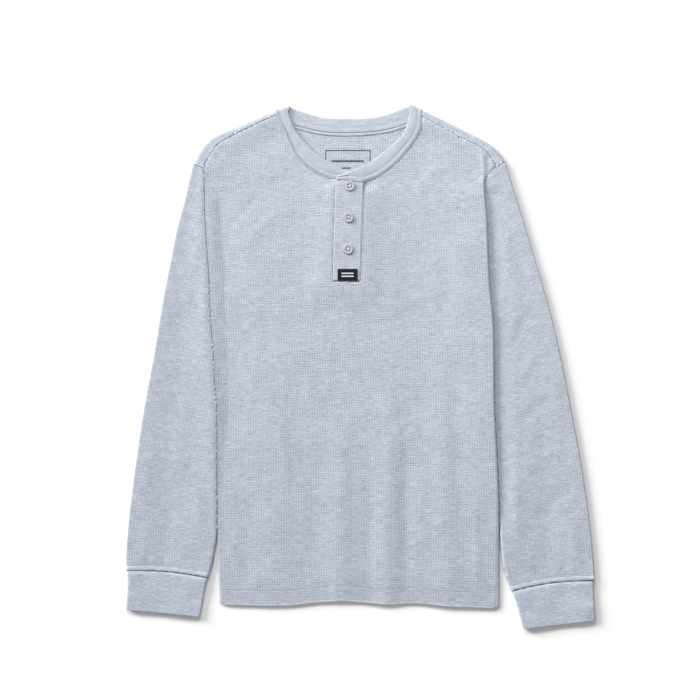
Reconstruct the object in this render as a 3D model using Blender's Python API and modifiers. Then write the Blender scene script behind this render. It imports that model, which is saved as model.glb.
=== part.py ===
"""Child's thermal top in waffle knit, lying on its back with its sleeves down beside the body.

Lengths are in millimetres until a mesh is made. +X is the wearer's left (suffix _l), +Y runs from the hem
to the neck, and the floor is z = 0. Each panel is an open sheet of the garment's outer face, thickened
inwards. The front lies on the back, the back wraps over the shoulders to the forward shoulder seams, and
each sleeve is a flattened tube whose inner edge is slit along the armhole.
"""

from math import pi

import bmesh
import bpy
import numpy as np

MM = 0.001
GAP = 0.3                       # between pieces that are sewn to each other
CLOTH = 1.5                     # wall of the waffle knit
RIB = 2.0                       # wall of the folded rib: neckband and cuffs
FOLD = 2.8                      # outer radius of a folded edge
FRONT_TOP = 4.2                 # height of the front's outer face where it lies flat
SIDE_RIM = CLOTH + GAP          # height at which the front's sides end above the back
SIDE_FOOT = 2.6                 # height at which the roll of those sides turns straight down
PLACKET_WALL = 1.8
LABEL_WALL = 1.0
WELD = 1e-6                     # metres

BODY_ROWS = 18                  # rows of cells from hem to shoulder
SHOULDER_STEPS = 5
NECK_ROW = 6.0                  # width of the front's last row of cells round the neck
SIDE_ROW = 20.0                 # and next to its sides
HEM_CORNER_R = -88.0            # x at the hem of the columns that end where neck and shoulders meet
HEM_CORNER_L = 80.0
SEAM_SAMPLES = 60               # points of a seam that distances are taken from
NECK_STEPS = 20
ROLL_STEPS = 4                  # cells round the quarter turn at the front's sides
ARC_STEPS = 6                   # cells round a half turn

# The body's side folds, hem to armhole corner: x, y
SIDE_R = [(-158.1, -265.9), (-159.9, -200.0), (-160.4, -93.0), (-160.6, -48.0), (-163.3, -9.0),
          (-165.5, 29.0), (-168.1, 61.0), (-169.4, 100.0), (-172.0, 140.0), (-174.0, 172.0),
          (-174.4, 200.0), (-175.2, 223.2)]
SIDE_L = [(155.2, -270.4), (155.2, -205.0), (154.6, -149.0), (152.3, -93.0), (149.8, -50.0),
          (149.2, 0.0), (148.0, 54.0), (144.2, 92.0), (142.6, 123.0), (140.9, 170.0),
          (138.6, 198.0), (139.3, 211.0), (145.2, 218.6), (150.4, 225.2)]
# The hem's edge: x, y
HEM = [(-158.1, -265.9), (-126.3, -267.0), (-77.0, -266.7), (-49.0, -263.8), (-18.8, -262.3),
       (2.5, -263.9), (30.5, -265.9), (56.2, -264.8), (98.8, -268.1), (155.2, -270.4)]
BACK_HEM_RISE = 1.0             # the back's hem stays this far inside the front's

# Shoulders, neck to armhole: fold x, fold y, seam x, seam y
SHOULDER_R = [(-96.7, 286.3, -95.9, 280.9), (-120.7, 276.2, -118.9, 270.6), (-142.0, 266.9, -139.0, 260.7),
              (-163.5, 257.6, -159.5, 249.3), (-170.7, 252.7, -164.8, 244.2), (-177.9, 244.0, -169.7, 236.1),
              (-183.5, 234.1, -173.3, 229.4), (-187.0, 226.9, -175.6, 223.8)]
SHOULDER_L = [(70.6, 286.2, 69.4, 279.6), (101.0, 271.3, 97.0, 264.3), (123.9, 259.8, 119.5, 252.8),
              (142.5, 249.8, 135.4, 244.2), (150.4, 243.4, 142.3, 238.5), (155.3, 238.3, 146.7, 232.0),
              (161.1, 229.8, 151.0, 225.8)]

# Front of the neck, wearer's right to left: seam x, seam y, free x, free y
NECK_FRONT = [(-95.4, 280.5, -81.3, 284.7), (-89.8, 269.5, -77.0, 272.5), (-83.4, 256.0, -71.1, 261.7),
              (-73.8, 236.7, -61.0, 249.5), (-63.1, 225.2, -50.5, 238.9), (-49.4, 216.0, -39.5, 231.4),
              (-30.2, 209.8, -25.0, 222.8), (-17.7, 208.8, -14.6, 218.7), (-8.7, 207.4, -8.0, 220.8),
              (3.4, 206.5, -1.0, 223.6), (12.9, 209.3, 7.5, 227.4), (22.4, 214.5, 15.5, 232.2),
              (36.1, 224.7, 27.0, 241.4), (50.1, 239.2, 38.3, 250.7), (62.6, 256.0, 47.8, 261.5),
              (67.4, 266.1, 51.5, 270.8), (68.2, 278.6, 54.7, 284.5)]
# Back of the neck, wearer's left to right: seam x, seam y, free x, free y
NECK_BACK = [(61.5, 277.6, 50.4, 290.6), (51.3, 272.5, 44.5, 288.3), (40.5, 268.4, 35.0, 284.2),
             (28.6, 265.3, 24.9, 281.0), (4.7, 262.4, 4.7, 277.9), (-17.7, 261.6, -15.5, 277.6),
             (-44.6, 263.3, -42.3, 278.8), (-65.9, 268.1, -62.0, 284.2), (-75.0, 270.6, -69.2, 286.6),
             (-86.5, 276.0, -75.2, 288.9)]
# Neckband on the shoulder folds: seam x, seam y, free x, free y
NECK_FOLD_R = (-96.3, 286.5, -80.0, 292.7)
NECK_FOLD_L = (70.2, 286.4, 54.7, 293.8)
LAP_LOW_END = 3.5               # x where the band's lower end stops, under the placket's left edge
LAP_HIGH_END = -28.0            # x where the upper end stops
LAP_CROSSING = -14.6            # x where the two free edges cross
LAP_TIP = 0.3                   # part of the band's width that is left at the upper end
# Height of the band's outer face against x, for the lower and the upper half
BAND_LOW = [(-96.0, 5.6), (-75.0, 4.6), (-42.0, 4.4), (-30.0, 3.9), (4.0, 3.9)]
BAND_HIGH = [(-28.0, 6.2), (4.0, 6.2), (16.0, 4.9), (45.0, 4.5), (64.0, 4.7), (68.5, 5.6)]

# Front's roll down to each side fold: y, width, crest height
ROLL_R = [(-270.0, 4.0, 4.6), (-200.0, 8.0, 5.4), (0.0, 10.0, 5.6), (190.0, 10.0, 5.6), (224.0, 4.0, 5.6)]
ROLL_L = [(-272.0, 3.4, 5.0), (-150.0, 3.6, 7.2), (0.0, 3.8, 8.0), (190.0, 3.8, 8.0), (226.0, 3.4, 5.6)]
RISE_R = 26.0                   # how far from a crest the front settles to FRONT_TOP
RISE_L = 32.0
RISE_SHOULDER = 26.0
# Soft folds in the lower front: x at hem, x at top, y of top, half width, height
RIDGES = [(-96.0, -104.0, 70.0, 20.0, 0.8), (-22.0, -18.0, -20.0, 16.0, 1.3), (29.0, 33.0, 0.0, 14.0, 1.6),
          (96.0, 84.0, 50.0, 18.0, 1.1)]
RIDGE_FADE = 110.0

# Sleeves, shoulder to cuff along the outer fold: x, y
SLEEVE_OUTER_R = [(-187.3, 226.1), (-189.1, 220.2), (-196.9, 186.6), (-205.9, 153.0), (-212.6, 119.4),
                  (-219.3, 85.8), (-230.5, 18.6), (-242.8, -48.6), (-252.9, -115.8), (-260.7, -183.0),
                  (-262.5, -216.6), (-262.2, -228.5)]
SLEEVE_OUTER_L = [(161.9, 228.8), (169.3, 203.4), (174.9, 186.6), (185.0, 153.0), (195.1, 119.4),
                  (205.2, 85.8), (222.0, 18.6), (235.4, -48.6), (247.7, -115.8), (256.7, -183.0),
                  (260.1, -216.6), (261.5, -239.7)]
# Sleeves' inner fold where it leaves the body, down to the cuff: x, y
SLEEVE_FOOT_R = [(-163.3, -208.0), (-166.2, -224.0), (-170.4, -236.6)]
SLEEVE_FOOT_L = [(156.9, -204.3), (159.6, -226.0), (168.6, -251.6)]
SLEEVE_LEAVES = -190.0          # y below which the sleeve is free of the body
UNDERARM = 80.0                 # y of the armhole's lowest point
SEAM_CLEAR = 0.4                # between the body's side and the sleeve
SLEEVE_SAG = 1.0                # how far the sleeve's top sinks between its folds
SAG_WIDTH = 60.0
TOP_STEPS = 7
BOTTOM_STEPS = 3
QUARTER_STEPS = 3

# Cuffs: inner and outer end of the free edge, x, y
CUFF_EDGE_R = [(-180.0, -280.4), (-263.0, -272.0)]
CUFF_EDGE_L = [(182.0, -294.0), (263.2, -284.2)]
CUFF_FOLD = 3.0
CUFF_SAG = 0.8
CUFF_ROWS = 4

# Placket: y, left x, right x
PLACKET = [(95.9, -31.4, -0.7), (143.0, -30.4, 0.9), (204.0, -28.4, 3.1)]
PLACKET_ROWS = 8
PLACKET_COLUMNS = 4
BUTTONS = {"button_top": (-12.2, 202.2), "button_middle": (-13.6, 166.9), "button_bottom": (-14.1, 131.4)}
# Button profile, top centre to bottom centre: radius, height
BUTTON_PROFILE = [(0.0, 1.5), (3.3, 1.6), (4.1, 2.2), (4.8, 2.4), (5.4, 2.0), (5.7, 1.3), (5.3, 0.5),
                  (4.4, 0.0), (0.0, 0.0)]
BUTTON_STEPS = 24
BUTTON_HOLE_RADIUS = 0.75
BUTTON_HOLE_OFFSET = 1.25       # of each hole's centre from the button's, in x and in y
BUTTON_HOLE_STEPS = 10
LABEL_SIZE = (22.3, 13.2)
LABEL_CENTRE = (-14.8, 102.7)

WAFFLE_GREY = "B9BFCB"
BAND_GREY = "C2C9D3"
CUFF_GREY = "B6BCC8"
BUTTON_GREY = "B2B3BF"
LABEL_BLACK = "17181B"


def material(name, colour, roughness):
    """Principled material from an sRGB hex colour."""
    channels = [int(colour[k:k + 2], 16) / 255 for k in (0, 2, 4)]
    linear = [c / 12.92 if c <= 0.04045 else ((c + 0.055) / 1.055) ** 2.4 for c in channels]
    made = bpy.data.materials.new(name)
    made.use_nodes = True
    shader = made.node_tree.nodes["Principled BSDF"]
    shader.inputs["Base Color"].default_value = (*linear, 1.0)
    shader.inputs["Roughness"].default_value = roughness
    shader.inputs["Metallic"].default_value = 0.0
    return made


def smooth(points, steps):
    """steps + 1 rows evenly spaced along a cubic through the given rows (x and y first, then the rest)."""
    points = np.array(points, float)
    knots = np.concatenate([[0], np.cumsum(np.linalg.norm(np.diff(points[:, :2], axis=0), axis=1))])
    slopes = np.gradient(points, knots, axis=0)
    fine = np.linspace(0, knots[-1], 60 * len(points))
    cell = np.clip(np.searchsorted(knots, fine, side="right") - 1, 0, len(knots) - 2)
    span = (knots[cell + 1] - knots[cell])[:, None]
    f = (fine - knots[cell])[:, None] / span
    curve = ((1 + 2 * f) * (1 - f) ** 2 * points[cell] + f * (1 - f) ** 2 * span * slopes[cell]
             + f ** 2 * (3 - 2 * f) * points[cell + 1] + f ** 2 * (f - 1) * span * slopes[cell + 1])
    length = np.concatenate([[0], np.cumsum(np.linalg.norm(np.diff(curve[:, :2], axis=0), axis=1))])
    at = np.linspace(0, length[-1], steps + 1)
    return np.stack([np.interp(at, length, curve[:, k]) for k in range(curve.shape[1])], axis=1)


def mitres(curve):
    """Vectors to the left of an open polyline that move each of its sides by one unit."""
    along = np.diff(curve[:, :2], axis=0)
    along /= np.linalg.norm(along, axis=1, keepdims=True)
    left = np.stack([-along[:, 1], along[:, 0]], axis=1)
    before, after = np.concatenate([left[:1], left]), np.concatenate([left, left[-1:]])
    return (before + after) / (1 + np.sum(before * after, axis=1, keepdims=True))


def offset(curve, distance):
    """An open polyline moved to its left by one distance, or by one for each point."""
    return curve[:, :2] + np.reshape(distance, (-1, 1)) * mitres(curve)


def coons(bottom, top, left, right):
    """Grid between four edges: bottom and top run left to right, left and right run bottom to top."""
    u = np.linspace(0, 1, len(bottom))[None, :, None]
    v = np.linspace(0, 1, len(left))[:, None, None]
    across = (1 - v) * bottom[None] + v * top[None]
    up = (1 - u) * left[:, None] + u * right[:, None]
    corners = (1 - v) * ((1 - u) * bottom[0] + u * bottom[-1]) + v * ((1 - u) * top[0] + u * top[-1])
    return across + up - corners


def with_height(plan, height):
    """Points (x, y) with a height for each, or one for all."""
    return np.concatenate([plan, np.broadcast_to(height, plan.shape[:-1])[..., None]], axis=-1)


def fade(distance, reach):
    """1 at no distance, 0 from reach on, smooth between."""
    f = np.clip(distance / reach, 0, 1)
    return (1 - f) ** 2 * (1 + 2 * f)


def new_object(name, mesh, surface):
    """Object of the garment's collection with one material, shaded smooth."""
    mesh.materials.append(surface)
    mesh.shade_smooth()
    mesh.set_sharp_from_angle(angle=pi / 4)
    made = bpy.data.objects.new(name, mesh)
    garment.objects.link(made)
    return made


def add_grid(bm, grid):
    """Quads between the rows of a grid of points, in millimetres."""
    rows = [[bm.verts.new(point * MM) for point in row] for row in grid]
    for lower, upper in zip(rows, rows[1:]):
        for k in range(len(lower) - 1):
            bm.faces.new((lower[k], lower[k + 1], upper[k + 1], upper[k]))


def cloth(name, grids, wall, surface):
    """Piece of cloth: grids of its outer face, welded and thickened inwards."""
    bm = bmesh.new()
    for grid in grids:
        add_grid(bm, grid)
    bmesh.ops.remove_doubles(bm, verts=bm.verts, dist=WELD)
    mesh = bpy.data.meshes.new(name)
    bm.to_mesh(mesh)
    bm.free()
    made = new_object(name, mesh, surface)
    solidify = made.modifiers.new("wall", "SOLIDIFY")
    solidify.thickness = wall * MM
    solidify.offset = -1
    solidify.use_even_offset = True
    return made


def ridge_height(x, y):
    """Height that the soft folds add to the front."""
    added = np.zeros_like(x)
    for x_hem, x_top, y_top, half_width, height in RIDGES:
        up = np.clip((y - HEM[0][1]) / (y_top - HEM[0][1]), 0, 1)
        centre = x_hem + (x_top - x_hem) * up
        added += height * np.exp(-((x - centre) / half_width) ** 2) * (1 - fade(y_top - y, RIDGE_FADE))
    return added


def side_rows(side):
    """The body's side fold at each row of cells, hem to armhole corner."""
    return smooth(side, BODY_ROWS)


def roll_columns(edge, crest, crest_height):
    """Columns from a crest out and down to the side fold: a quarter of an ellipse, then straight down."""
    columns = []
    for turn in np.linspace(0, pi / 2, ROLL_STEPS + 1)[1:]:
        plan = crest + (edge - crest) * np.sin(turn)
        columns.append(with_height(plan, SIDE_FOOT + (crest_height - SIDE_FOOT) * np.cos(turn)))
    columns.append(with_height(edge, SIDE_RIM))
    return np.stack(columns, axis=1)


def distance_to(curve, plan):
    """Distance of each point of a grid from a curve given by close points."""
    return np.linalg.norm(plan[:, :, None] - curve[None, None, :, :2], axis=3).min(axis=2)


def neck_seam():
    """Rows of the front neck: seam and free edge, wearer's right to left."""
    return smooth(NECK_FRONT, NECK_STEPS)


def make_front():
    """Front panel, from its left roll over the flat to the roll down the right side fold."""
    edge_r, edge_l = side_rows(SIDE_R), side_rows(SIDE_L)
    width_r, crest_r = (np.interp(edge_r[:, 1], *np.array(ROLL_R).T[[0, k]]) for k in (1, 2))
    width_l, crest_l = (np.interp(edge_l[:, 1], *np.array(ROLL_L).T[[0, k]]) for k in (1, 2))
    inner_r, inner_l = offset(edge_r, -width_r), offset(edge_l, width_l)

    seam_r = smooth(SHOULDER_R, SHOULDER_STEPS)[::-1, 2:]
    seam_l = smooth(SHOULDER_L, SHOULDER_STEPS)[:, 2:]
    neck = offset(neck_seam(), -GAP / 2)
    top = np.concatenate([offset(seam_r, -GAP / 2)[:-1], neck, offset(seam_l, -GAP / 2)[1:]])
    top[0], top[-1] = inner_r[-1], inner_l[-1]
    depth = np.full(len(top), NECK_ROW)
    depth[:SHOULDER_STEPS + 1] = np.linspace(SIDE_ROW, NECK_ROW, SHOULDER_STEPS + 1)
    depth[-SHOULDER_STEPS - 1:] = np.linspace(NECK_ROW, SIDE_ROW, SHOULDER_STEPS + 1)
    below_top = offset(top, -depth)
    below_top[0], below_top[-1] = inner_r[-2], inner_l[-2]
    corners = np.array([0, SHOULDER_STEPS, len(top) - 1 - SHOULDER_STEPS, len(top) - 1])
    hem = np.interp(np.arange(len(top)), corners, [inner_r[0, 0], HEM_CORNER_R, HEM_CORNER_L, inner_l[0, 0]])
    hem = np.stack([hem, np.interp(hem, *np.array(HEM).T)], axis=1)
    inner_r[0], inner_l[0] = hem[0], hem[-1]
    plan = np.concatenate([coons(hem, below_top, inner_r[:-1], inner_l[:-1]), top[None]])

    from_r = np.linalg.norm(plan - plan[:, :1], axis=2)
    from_l = np.linalg.norm(plan - plan[:, -1:], axis=2)
    seams = np.concatenate([smooth(np.array(s)[:, 2:], SEAM_SAMPLES) for s in (SHOULDER_R, SHOULDER_L)])
    rises = [(crest_r - FRONT_TOP)[:, None] * fade(from_r, RISE_R),
             (crest_l - FRONT_TOP)[:, None] * fade(from_l, RISE_L),
             (2 * FOLD - FRONT_TOP) * fade(distance_to(seams, plan), RISE_SHOULDER)]
    height = FRONT_TOP + np.maximum.reduce(rises) + ridge_height(plan[..., 0], plan[..., 1])

    roll_r = roll_columns(edge_r, inner_r, height[:, 0])[:, ::-1]
    roll_l = roll_columns(edge_l, inner_l, height[:, -1])
    grid = np.concatenate([roll_r, with_height(plan, height), roll_l], axis=1)
    return cloth("front", [grid], CLOTH, waffle)


def shoulder_wrap(shoulder):
    """The back's strip over one shoulder fold, floor to forward seam, and its row on the floor."""
    rows = smooth(shoulder, SHOULDER_STEPS)
    fold, seam = rows[:, :2], rows[:, 2:]
    inward = seam - fold
    out = mitres(fold)
    out /= np.linalg.norm(out, axis=1, keepdims=True)
    out *= -np.sign(np.sum(out * inward, axis=1, keepdims=True))
    base = fold - FOLD * out
    wrap = []
    for turn in np.linspace(-pi / 2, pi / 2, ARC_STEPS + 1):
        wrap.append(with_height(base + FOLD * np.cos(turn) * out, FOLD + FOLD * np.sin(turn)))
    toward_fold = -inward / np.linalg.norm(inward, axis=1, keepdims=True)
    wrap.append(with_height(seam + GAP / 2 * toward_fold, 2 * FOLD))
    return np.array(wrap), base


def make_back():
    """Back panel on the floor, with its strips over both shoulders."""
    wrap_r, base_r = shoulder_wrap(SHOULDER_R)
    wrap_l, base_l = shoulder_wrap(SHOULDER_L)
    neck = offset(smooth(back_neck(), NECK_STEPS), GAP / 2)[::-1]
    neck[0], neck[-1] = base_r[0], base_l[0]
    top = np.concatenate([base_r[::-1][:-1], neck, base_l[1:]])
    left = np.concatenate([side_rows(SIDE_R), base_r[-1:]])
    right = np.concatenate([side_rows(SIDE_L), base_l[-1:]])
    left[0, 1] += BACK_HEM_RISE
    right[0, 1] += BACK_HEM_RISE
    hem = smooth(HEM, len(top) - 1)
    hem[:, 1] += BACK_HEM_RISE
    panel = with_height(coons(hem, top, left, right), 0)
    grids = [panel[:, ::-1], wrap_r, wrap_l[:, ::-1]]
    return cloth("back", grids, CLOTH, waffle)


def back_neck():
    """Rows of the back neck between the feet of the two shoulder folds."""
    return [neck_foot(NECK_FOLD_L), *NECK_BACK, neck_foot(NECK_FOLD_R)]


def fold_normal(row):
    """Direction out of the shoulder fold where the neckband crosses it."""
    seam_x, seam_y, free_x, free_y = row
    out = np.array([seam_y - free_y, free_x - seam_x])
    out /= np.linalg.norm(out)
    return out * np.sign(out[1])


def neck_foot(row):
    """Seam and free edge at the foot of the neckband's turn over the shoulder."""
    out = np.tile(fold_normal(row), 2)
    return tuple(np.array(row) - FOLD * out)


def tube_section(width, radius, sag):
    """Flattened tube's outer face: distance from the inner fold and height, from the inner fold over the top.

    The inner fold is split at half height, where an open tube has its two edges.
    """
    quarter = np.linspace(0, pi / 2, QUARTER_STEPS + 1)
    half = np.linspace(pi / 2, -pi / 2, ARC_STEPS + 1)
    split = np.maximum(radius * np.sin(quarter), GAP / 2)
    top = np.linspace(0, 1, TOP_STEPS + 1)[1:-1]
    bottom = np.linspace(1, 0, BOTTOM_STEPS + 1)[1:-1]
    flat = width - 2 * radius
    distance = [radius * (1 - np.cos(quarter)), radius + flat * top,
                width - radius + radius * np.cos(half), radius + flat * bottom,
                radius * (1 - np.cos(quarter[::-1]))]
    height = [radius + split, 2 * radius - sag * np.sin(pi * top) ** 2,
              radius + radius * np.sin(half), np.zeros_like(bottom),
              radius - split[::-1]]
    return np.concatenate(distance), np.concatenate(height)


def tube(inner, outer, radius, sag):
    """Rows of a flattened tube between its inner and outer folds."""
    rows = []
    for a, b in zip(inner, outer):
        width = np.linalg.norm(b - a)
        distance, height = tube_section(width, radius, sag * min(1, width / SAG_WIDTH))
        rows.append(with_height(a + (b - a) * distance[:, None] / width, height))
    return np.array(rows)


def sleeve_edges(side, outer, foot, toward_sleeve):
    """Inner and outer fold of a sleeve at each of its rows, shoulder to cuff."""
    seam = side_rows(side)[::-1]
    seam = seam[seam[:, 1] > SLEEVE_LEAVES]
    seam[:, 0] += toward_sleeve * SEAM_CLEAR
    seam[0, 1] -= SEAM_CLEAR
    inner = np.concatenate([seam, foot])
    return inner, smooth(outer, len(inner) - 1)


def make_sleeve(name, side, outer, foot, toward_sleeve):
    """Sleeve: a tube, open along its inner fold above the underarm."""
    inner, outer = sleeve_edges(side, outer, foot, toward_sleeve)
    grid = tube(inner, outer, FOLD, SLEEVE_SAG)
    closed = inner[:, 1] < UNDERARM
    closing = np.stack([grid[closed, -1], grid[closed, 0]], axis=1)
    grids = [grid, closing]
    if toward_sleeve > 0:
        grids = [g[:, ::-1] for g in grids]
    return cloth(name, grids, CLOTH, waffle)


def make_cuff(name, foot, outer, edge, mirrored):
    """Cuff: a short tube of folded rib, from the sleeve's end to its free edge."""
    steps = np.linspace(0, 1, CUFF_ROWS + 1)[:, None]
    start = np.array([foot[-1], outer[-1]])
    down = np.array(edge) - start
    start = start + down * GAP / np.linalg.norm(down, axis=1, keepdims=True)
    inner = start[0] + (edge[0] - start[0]) * steps
    outer = start[1] + (edge[1] - start[1]) * steps
    grid = tube(inner, outer, CUFF_FOLD, CUFF_SAG)
    grid = np.concatenate([grid, grid[:, :1]], axis=1)
    if mirrored:
        grid = grid[:, ::-1]
    return cloth(name, [grid], RIB, cuff_rib)


def band_section(seam, free, normal):
    """Cross-section of the neckband: square at its seam, rounded at its free edge."""
    across = free - seam
    width = np.linalg.norm(across)
    across /= width
    half = RIB / 2
    turn = np.linspace(pi / 2, -pi / 2, 5)
    flat = [0, (width - half) / 2]
    reach = np.concatenate([flat, width - half + half * np.cos(turn), flat[::-1]])
    depth = np.concatenate([[0, 0], half - half * np.sin(turn), [RIB, RIB]])
    return seam + reach[:, None] * across - depth[:, None] * normal


def band_stations():
    """Seam point, free point and outward normal of each station, from the lower lapped end to the upper."""
    neck = neck_seam()
    up = np.array([0.0, 0.0, 1.0])
    low = neck[neck[:, 0] < LAP_LOW_END][::-1]
    high = neck[neck[:, 0] > LAP_HIGH_END][::-1]
    stations = []
    for row in low:
        seam, free = row[:2], row[2:]
        if seam[0] > LAP_CROSSING:
            free = seam + 0.6 * (free - seam)
        z = np.interp(seam[0], *np.array(BAND_LOW).T)
        stations.append((np.append(seam, z), np.append(free, z), up))
    stations += fold_stations(NECK_FOLD_R, np.linspace(pi / 2, -pi / 2, ARC_STEPS + 1))
    for row in smooth(back_neck(), NECK_STEPS)[::-1][1:-1]:
        stations.append((np.append(row[:2], 0), np.append(row[2:], 0), -up))
    stations += fold_stations(NECK_FOLD_L, np.linspace(-pi / 2, pi / 2, ARC_STEPS + 1))
    for row in high:
        seam, free = row[:2], row[2:]
        left = np.clip((seam[0] - LAP_HIGH_END) / (LAP_CROSSING - LAP_HIGH_END), 0, 1)
        free = seam + (LAP_TIP + (1 - LAP_TIP) * left) * (free - seam)
        z = np.interp(seam[0], *np.array(BAND_HIGH).T)
        stations.append((np.append(seam, z), np.append(free, z), up))
    return stations


def fold_stations(row, turns):
    """Stations of the neckband round one shoulder fold."""
    foot = np.array(neck_foot(row))
    out = np.append(fold_normal(row), 0)
    stations = []
    for turn in turns:
        normal = np.cos(turn) * out + np.array([0, 0, np.sin(turn)])
        centre = np.array([0, 0, FOLD])
        seam = np.append(foot[:2], 0) + centre + FOLD * normal
        free = np.append(foot[2:], 0) + centre + FOLD * normal
        stations.append((seam, free, normal))
    return stations


def make_neckband():
    """Neckband: a loft of its cross-section round the neck, its ends lapped at the placket."""
    bm = bmesh.new()
    sections = []
    for seam, free, normal in band_stations():
        inset = GAP / 2 * (free - seam) / np.linalg.norm(free - seam)
        section = band_section(seam + inset, free, normal)
        sections.append([bm.verts.new(point * MM) for point in section])
    for a, b in zip(sections, sections[1:]):
        for k in range(len(a)):
            n = (k + 1) % len(a)
            bm.faces.new((a[k], a[n], b[n], b[k]))
    bm.faces.new(sections[0][::-1])
    bm.faces.new(sections[-1])
    bmesh.ops.recalc_face_normals(bm, faces=bm.faces)
    mesh = bpy.data.meshes.new("neckband")
    bm.to_mesh(mesh)
    bm.free()
    return new_object("neckband", mesh, band_rib)


def make_placket():
    """Placket: a folded strip on the front, from the neckband's seam down."""
    rows = np.array(PLACKET)
    seam = neck_seam()
    across = np.linspace(0, 1, PLACKET_COLUMNS + 1)
    up = np.linspace(0, 1, PLACKET_ROWS + 1)[:, None]
    x_top = rows[-1, 1] + (rows[-1, 2] - rows[-1, 1]) * across
    y_top = np.interp(x_top, seam[:, 0], seam[:, 1]) - 2 * GAP
    y = rows[0, 0] + (y_top - rows[0, 0]) * up
    left, right = (np.interp(y, rows[:, 0], rows[:, k]) for k in (1, 2))
    plan = np.stack([left + (right - left) * across, y], axis=2)
    return cloth("placket", [with_height(plan, placket_top())], PLACKET_WALL, waffle)


def placket_top():
    """Height of the placket's outer face."""
    return FRONT_TOP + GAP + PLACKET_WALL


def button_mesh():
    """Turned four-hole button, its axis on Z and its flat back on z = 0."""
    bm = bmesh.new()
    profile = [bm.verts.new((radius * MM, 0, height * MM)) for radius, height in BUTTON_PROFILE]
    for upper, lower in zip(profile, profile[1:]):
        bm.edges.new((upper, lower))
    mesh = bpy.data.meshes.new("button")
    bm.to_mesh(mesh)
    bm.free()
    return mesh


def button_cutter():
    """Four pins that cut the thread holes."""
    bm = bmesh.new()
    for x in (-BUTTON_HOLE_OFFSET, BUTTON_HOLE_OFFSET):
        for y in (-BUTTON_HOLE_OFFSET, BUTTON_HOLE_OFFSET):
            pin = bmesh.ops.create_cone(bm, cap_ends=True, segments=BUTTON_HOLE_STEPS,
                                        radius1=BUTTON_HOLE_RADIUS * MM, radius2=BUTTON_HOLE_RADIUS * MM,
                                        depth=8 * MM)
            bmesh.ops.translate(bm, verts=pin["verts"], vec=(x * MM, y * MM, 0))
    mesh = bpy.data.meshes.new("button_holes")
    bm.to_mesh(mesh)
    bm.free()
    return mesh


def make_button(name, x, y, mesh, holes):
    """One button on the placket."""
    place = (x * MM, y * MM, (placket_top() + GAP) * MM)
    made = bpy.data.objects.new(name, mesh)
    garment.objects.link(made)
    made.location = place
    cutter = bpy.data.objects.new(name + "_holes", holes)
    cutters.objects.link(cutter)
    cutter.location = place
    cutter.hide_render = True
    cutter.display_type = "WIRE"
    turned = made.modifiers.new("turned", "SCREW")
    turned.steps = BUTTON_STEPS
    turned.render_steps = BUTTON_STEPS
    turned.use_merge_vertices = True
    turned.merge_threshold = 0.00001
    drilled = made.modifiers.new("holes", "BOOLEAN")
    drilled.operation = "DIFFERENCE"
    drilled.object = cutter
    return made


def make_label():
    """Small woven label at the placket's foot."""
    x, y = LABEL_CENTRE
    xs = np.linspace(x - LABEL_SIZE[0] / 2, x + LABEL_SIZE[0] / 2, 3)
    ys = np.linspace(y - LABEL_SIZE[1] / 2, y + LABEL_SIZE[1] / 2, 3)
    plan = np.stack(np.meshgrid(xs, ys), axis=2)
    grid = with_height(plan, placket_top() + GAP + LABEL_WALL)
    return cloth("patch_label", [grid], LABEL_WALL, woven_black)


for old in list(bpy.data.objects):
    bpy.data.objects.remove(old, do_unlink=True)
garment = bpy.data.collections.new("thermal_top")
cutters = bpy.data.collections.new("cutters")
bpy.context.scene.collection.children.link(garment)
bpy.context.scene.collection.children.link(cutters)

waffle = material("waffle_knit", WAFFLE_GREY, 0.9)
band_rib = material("band_rib", BAND_GREY, 0.9)
cuff_rib = material("cuff_rib", CUFF_GREY, 0.9)
button_plastic = material("button_plastic", BUTTON_GREY, 0.35)
woven_black = material("woven_black", LABEL_BLACK, 0.8)

make_front()
make_back()
make_sleeve("sleeve_r", SIDE_R, SLEEVE_OUTER_R, SLEEVE_FOOT_R, -1)
make_sleeve("sleeve_l", SIDE_L, SLEEVE_OUTER_L, SLEEVE_FOOT_L, 1)
make_cuff("cuff_r", SLEEVE_FOOT_R, SLEEVE_OUTER_R, CUFF_EDGE_R, False)
make_cuff("cuff_l", SLEEVE_FOOT_L, SLEEVE_OUTER_L, CUFF_EDGE_L, True)
make_neckband()
make_placket()
button = button_mesh()
button.materials.append(button_plastic)
hole_pins = button_cutter()
for button_name, (button_x, button_y) in BUTTONS.items():
    make_button(button_name, button_x, button_y, button, hole_pins)
make_label()
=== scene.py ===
# %% [markdown]
# # A child's waffle-knit thermal top, laid flat
# The top lies on its back on a pale table, sleeves down beside the body. Real ones are cut from a cotton
# mélange in waffle knit and sewn up with flat coverstitch seams; the neckband and the cuffs are rib. The
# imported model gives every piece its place; this script dresses each one as cloth. Lengths are worked out
# in millimetres and turned into metres when a mesh is made.

from math import pi

import bpy
import numpy as np
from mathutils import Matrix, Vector
from mathutils.geometry import delaunay_2d_cdt


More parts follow.
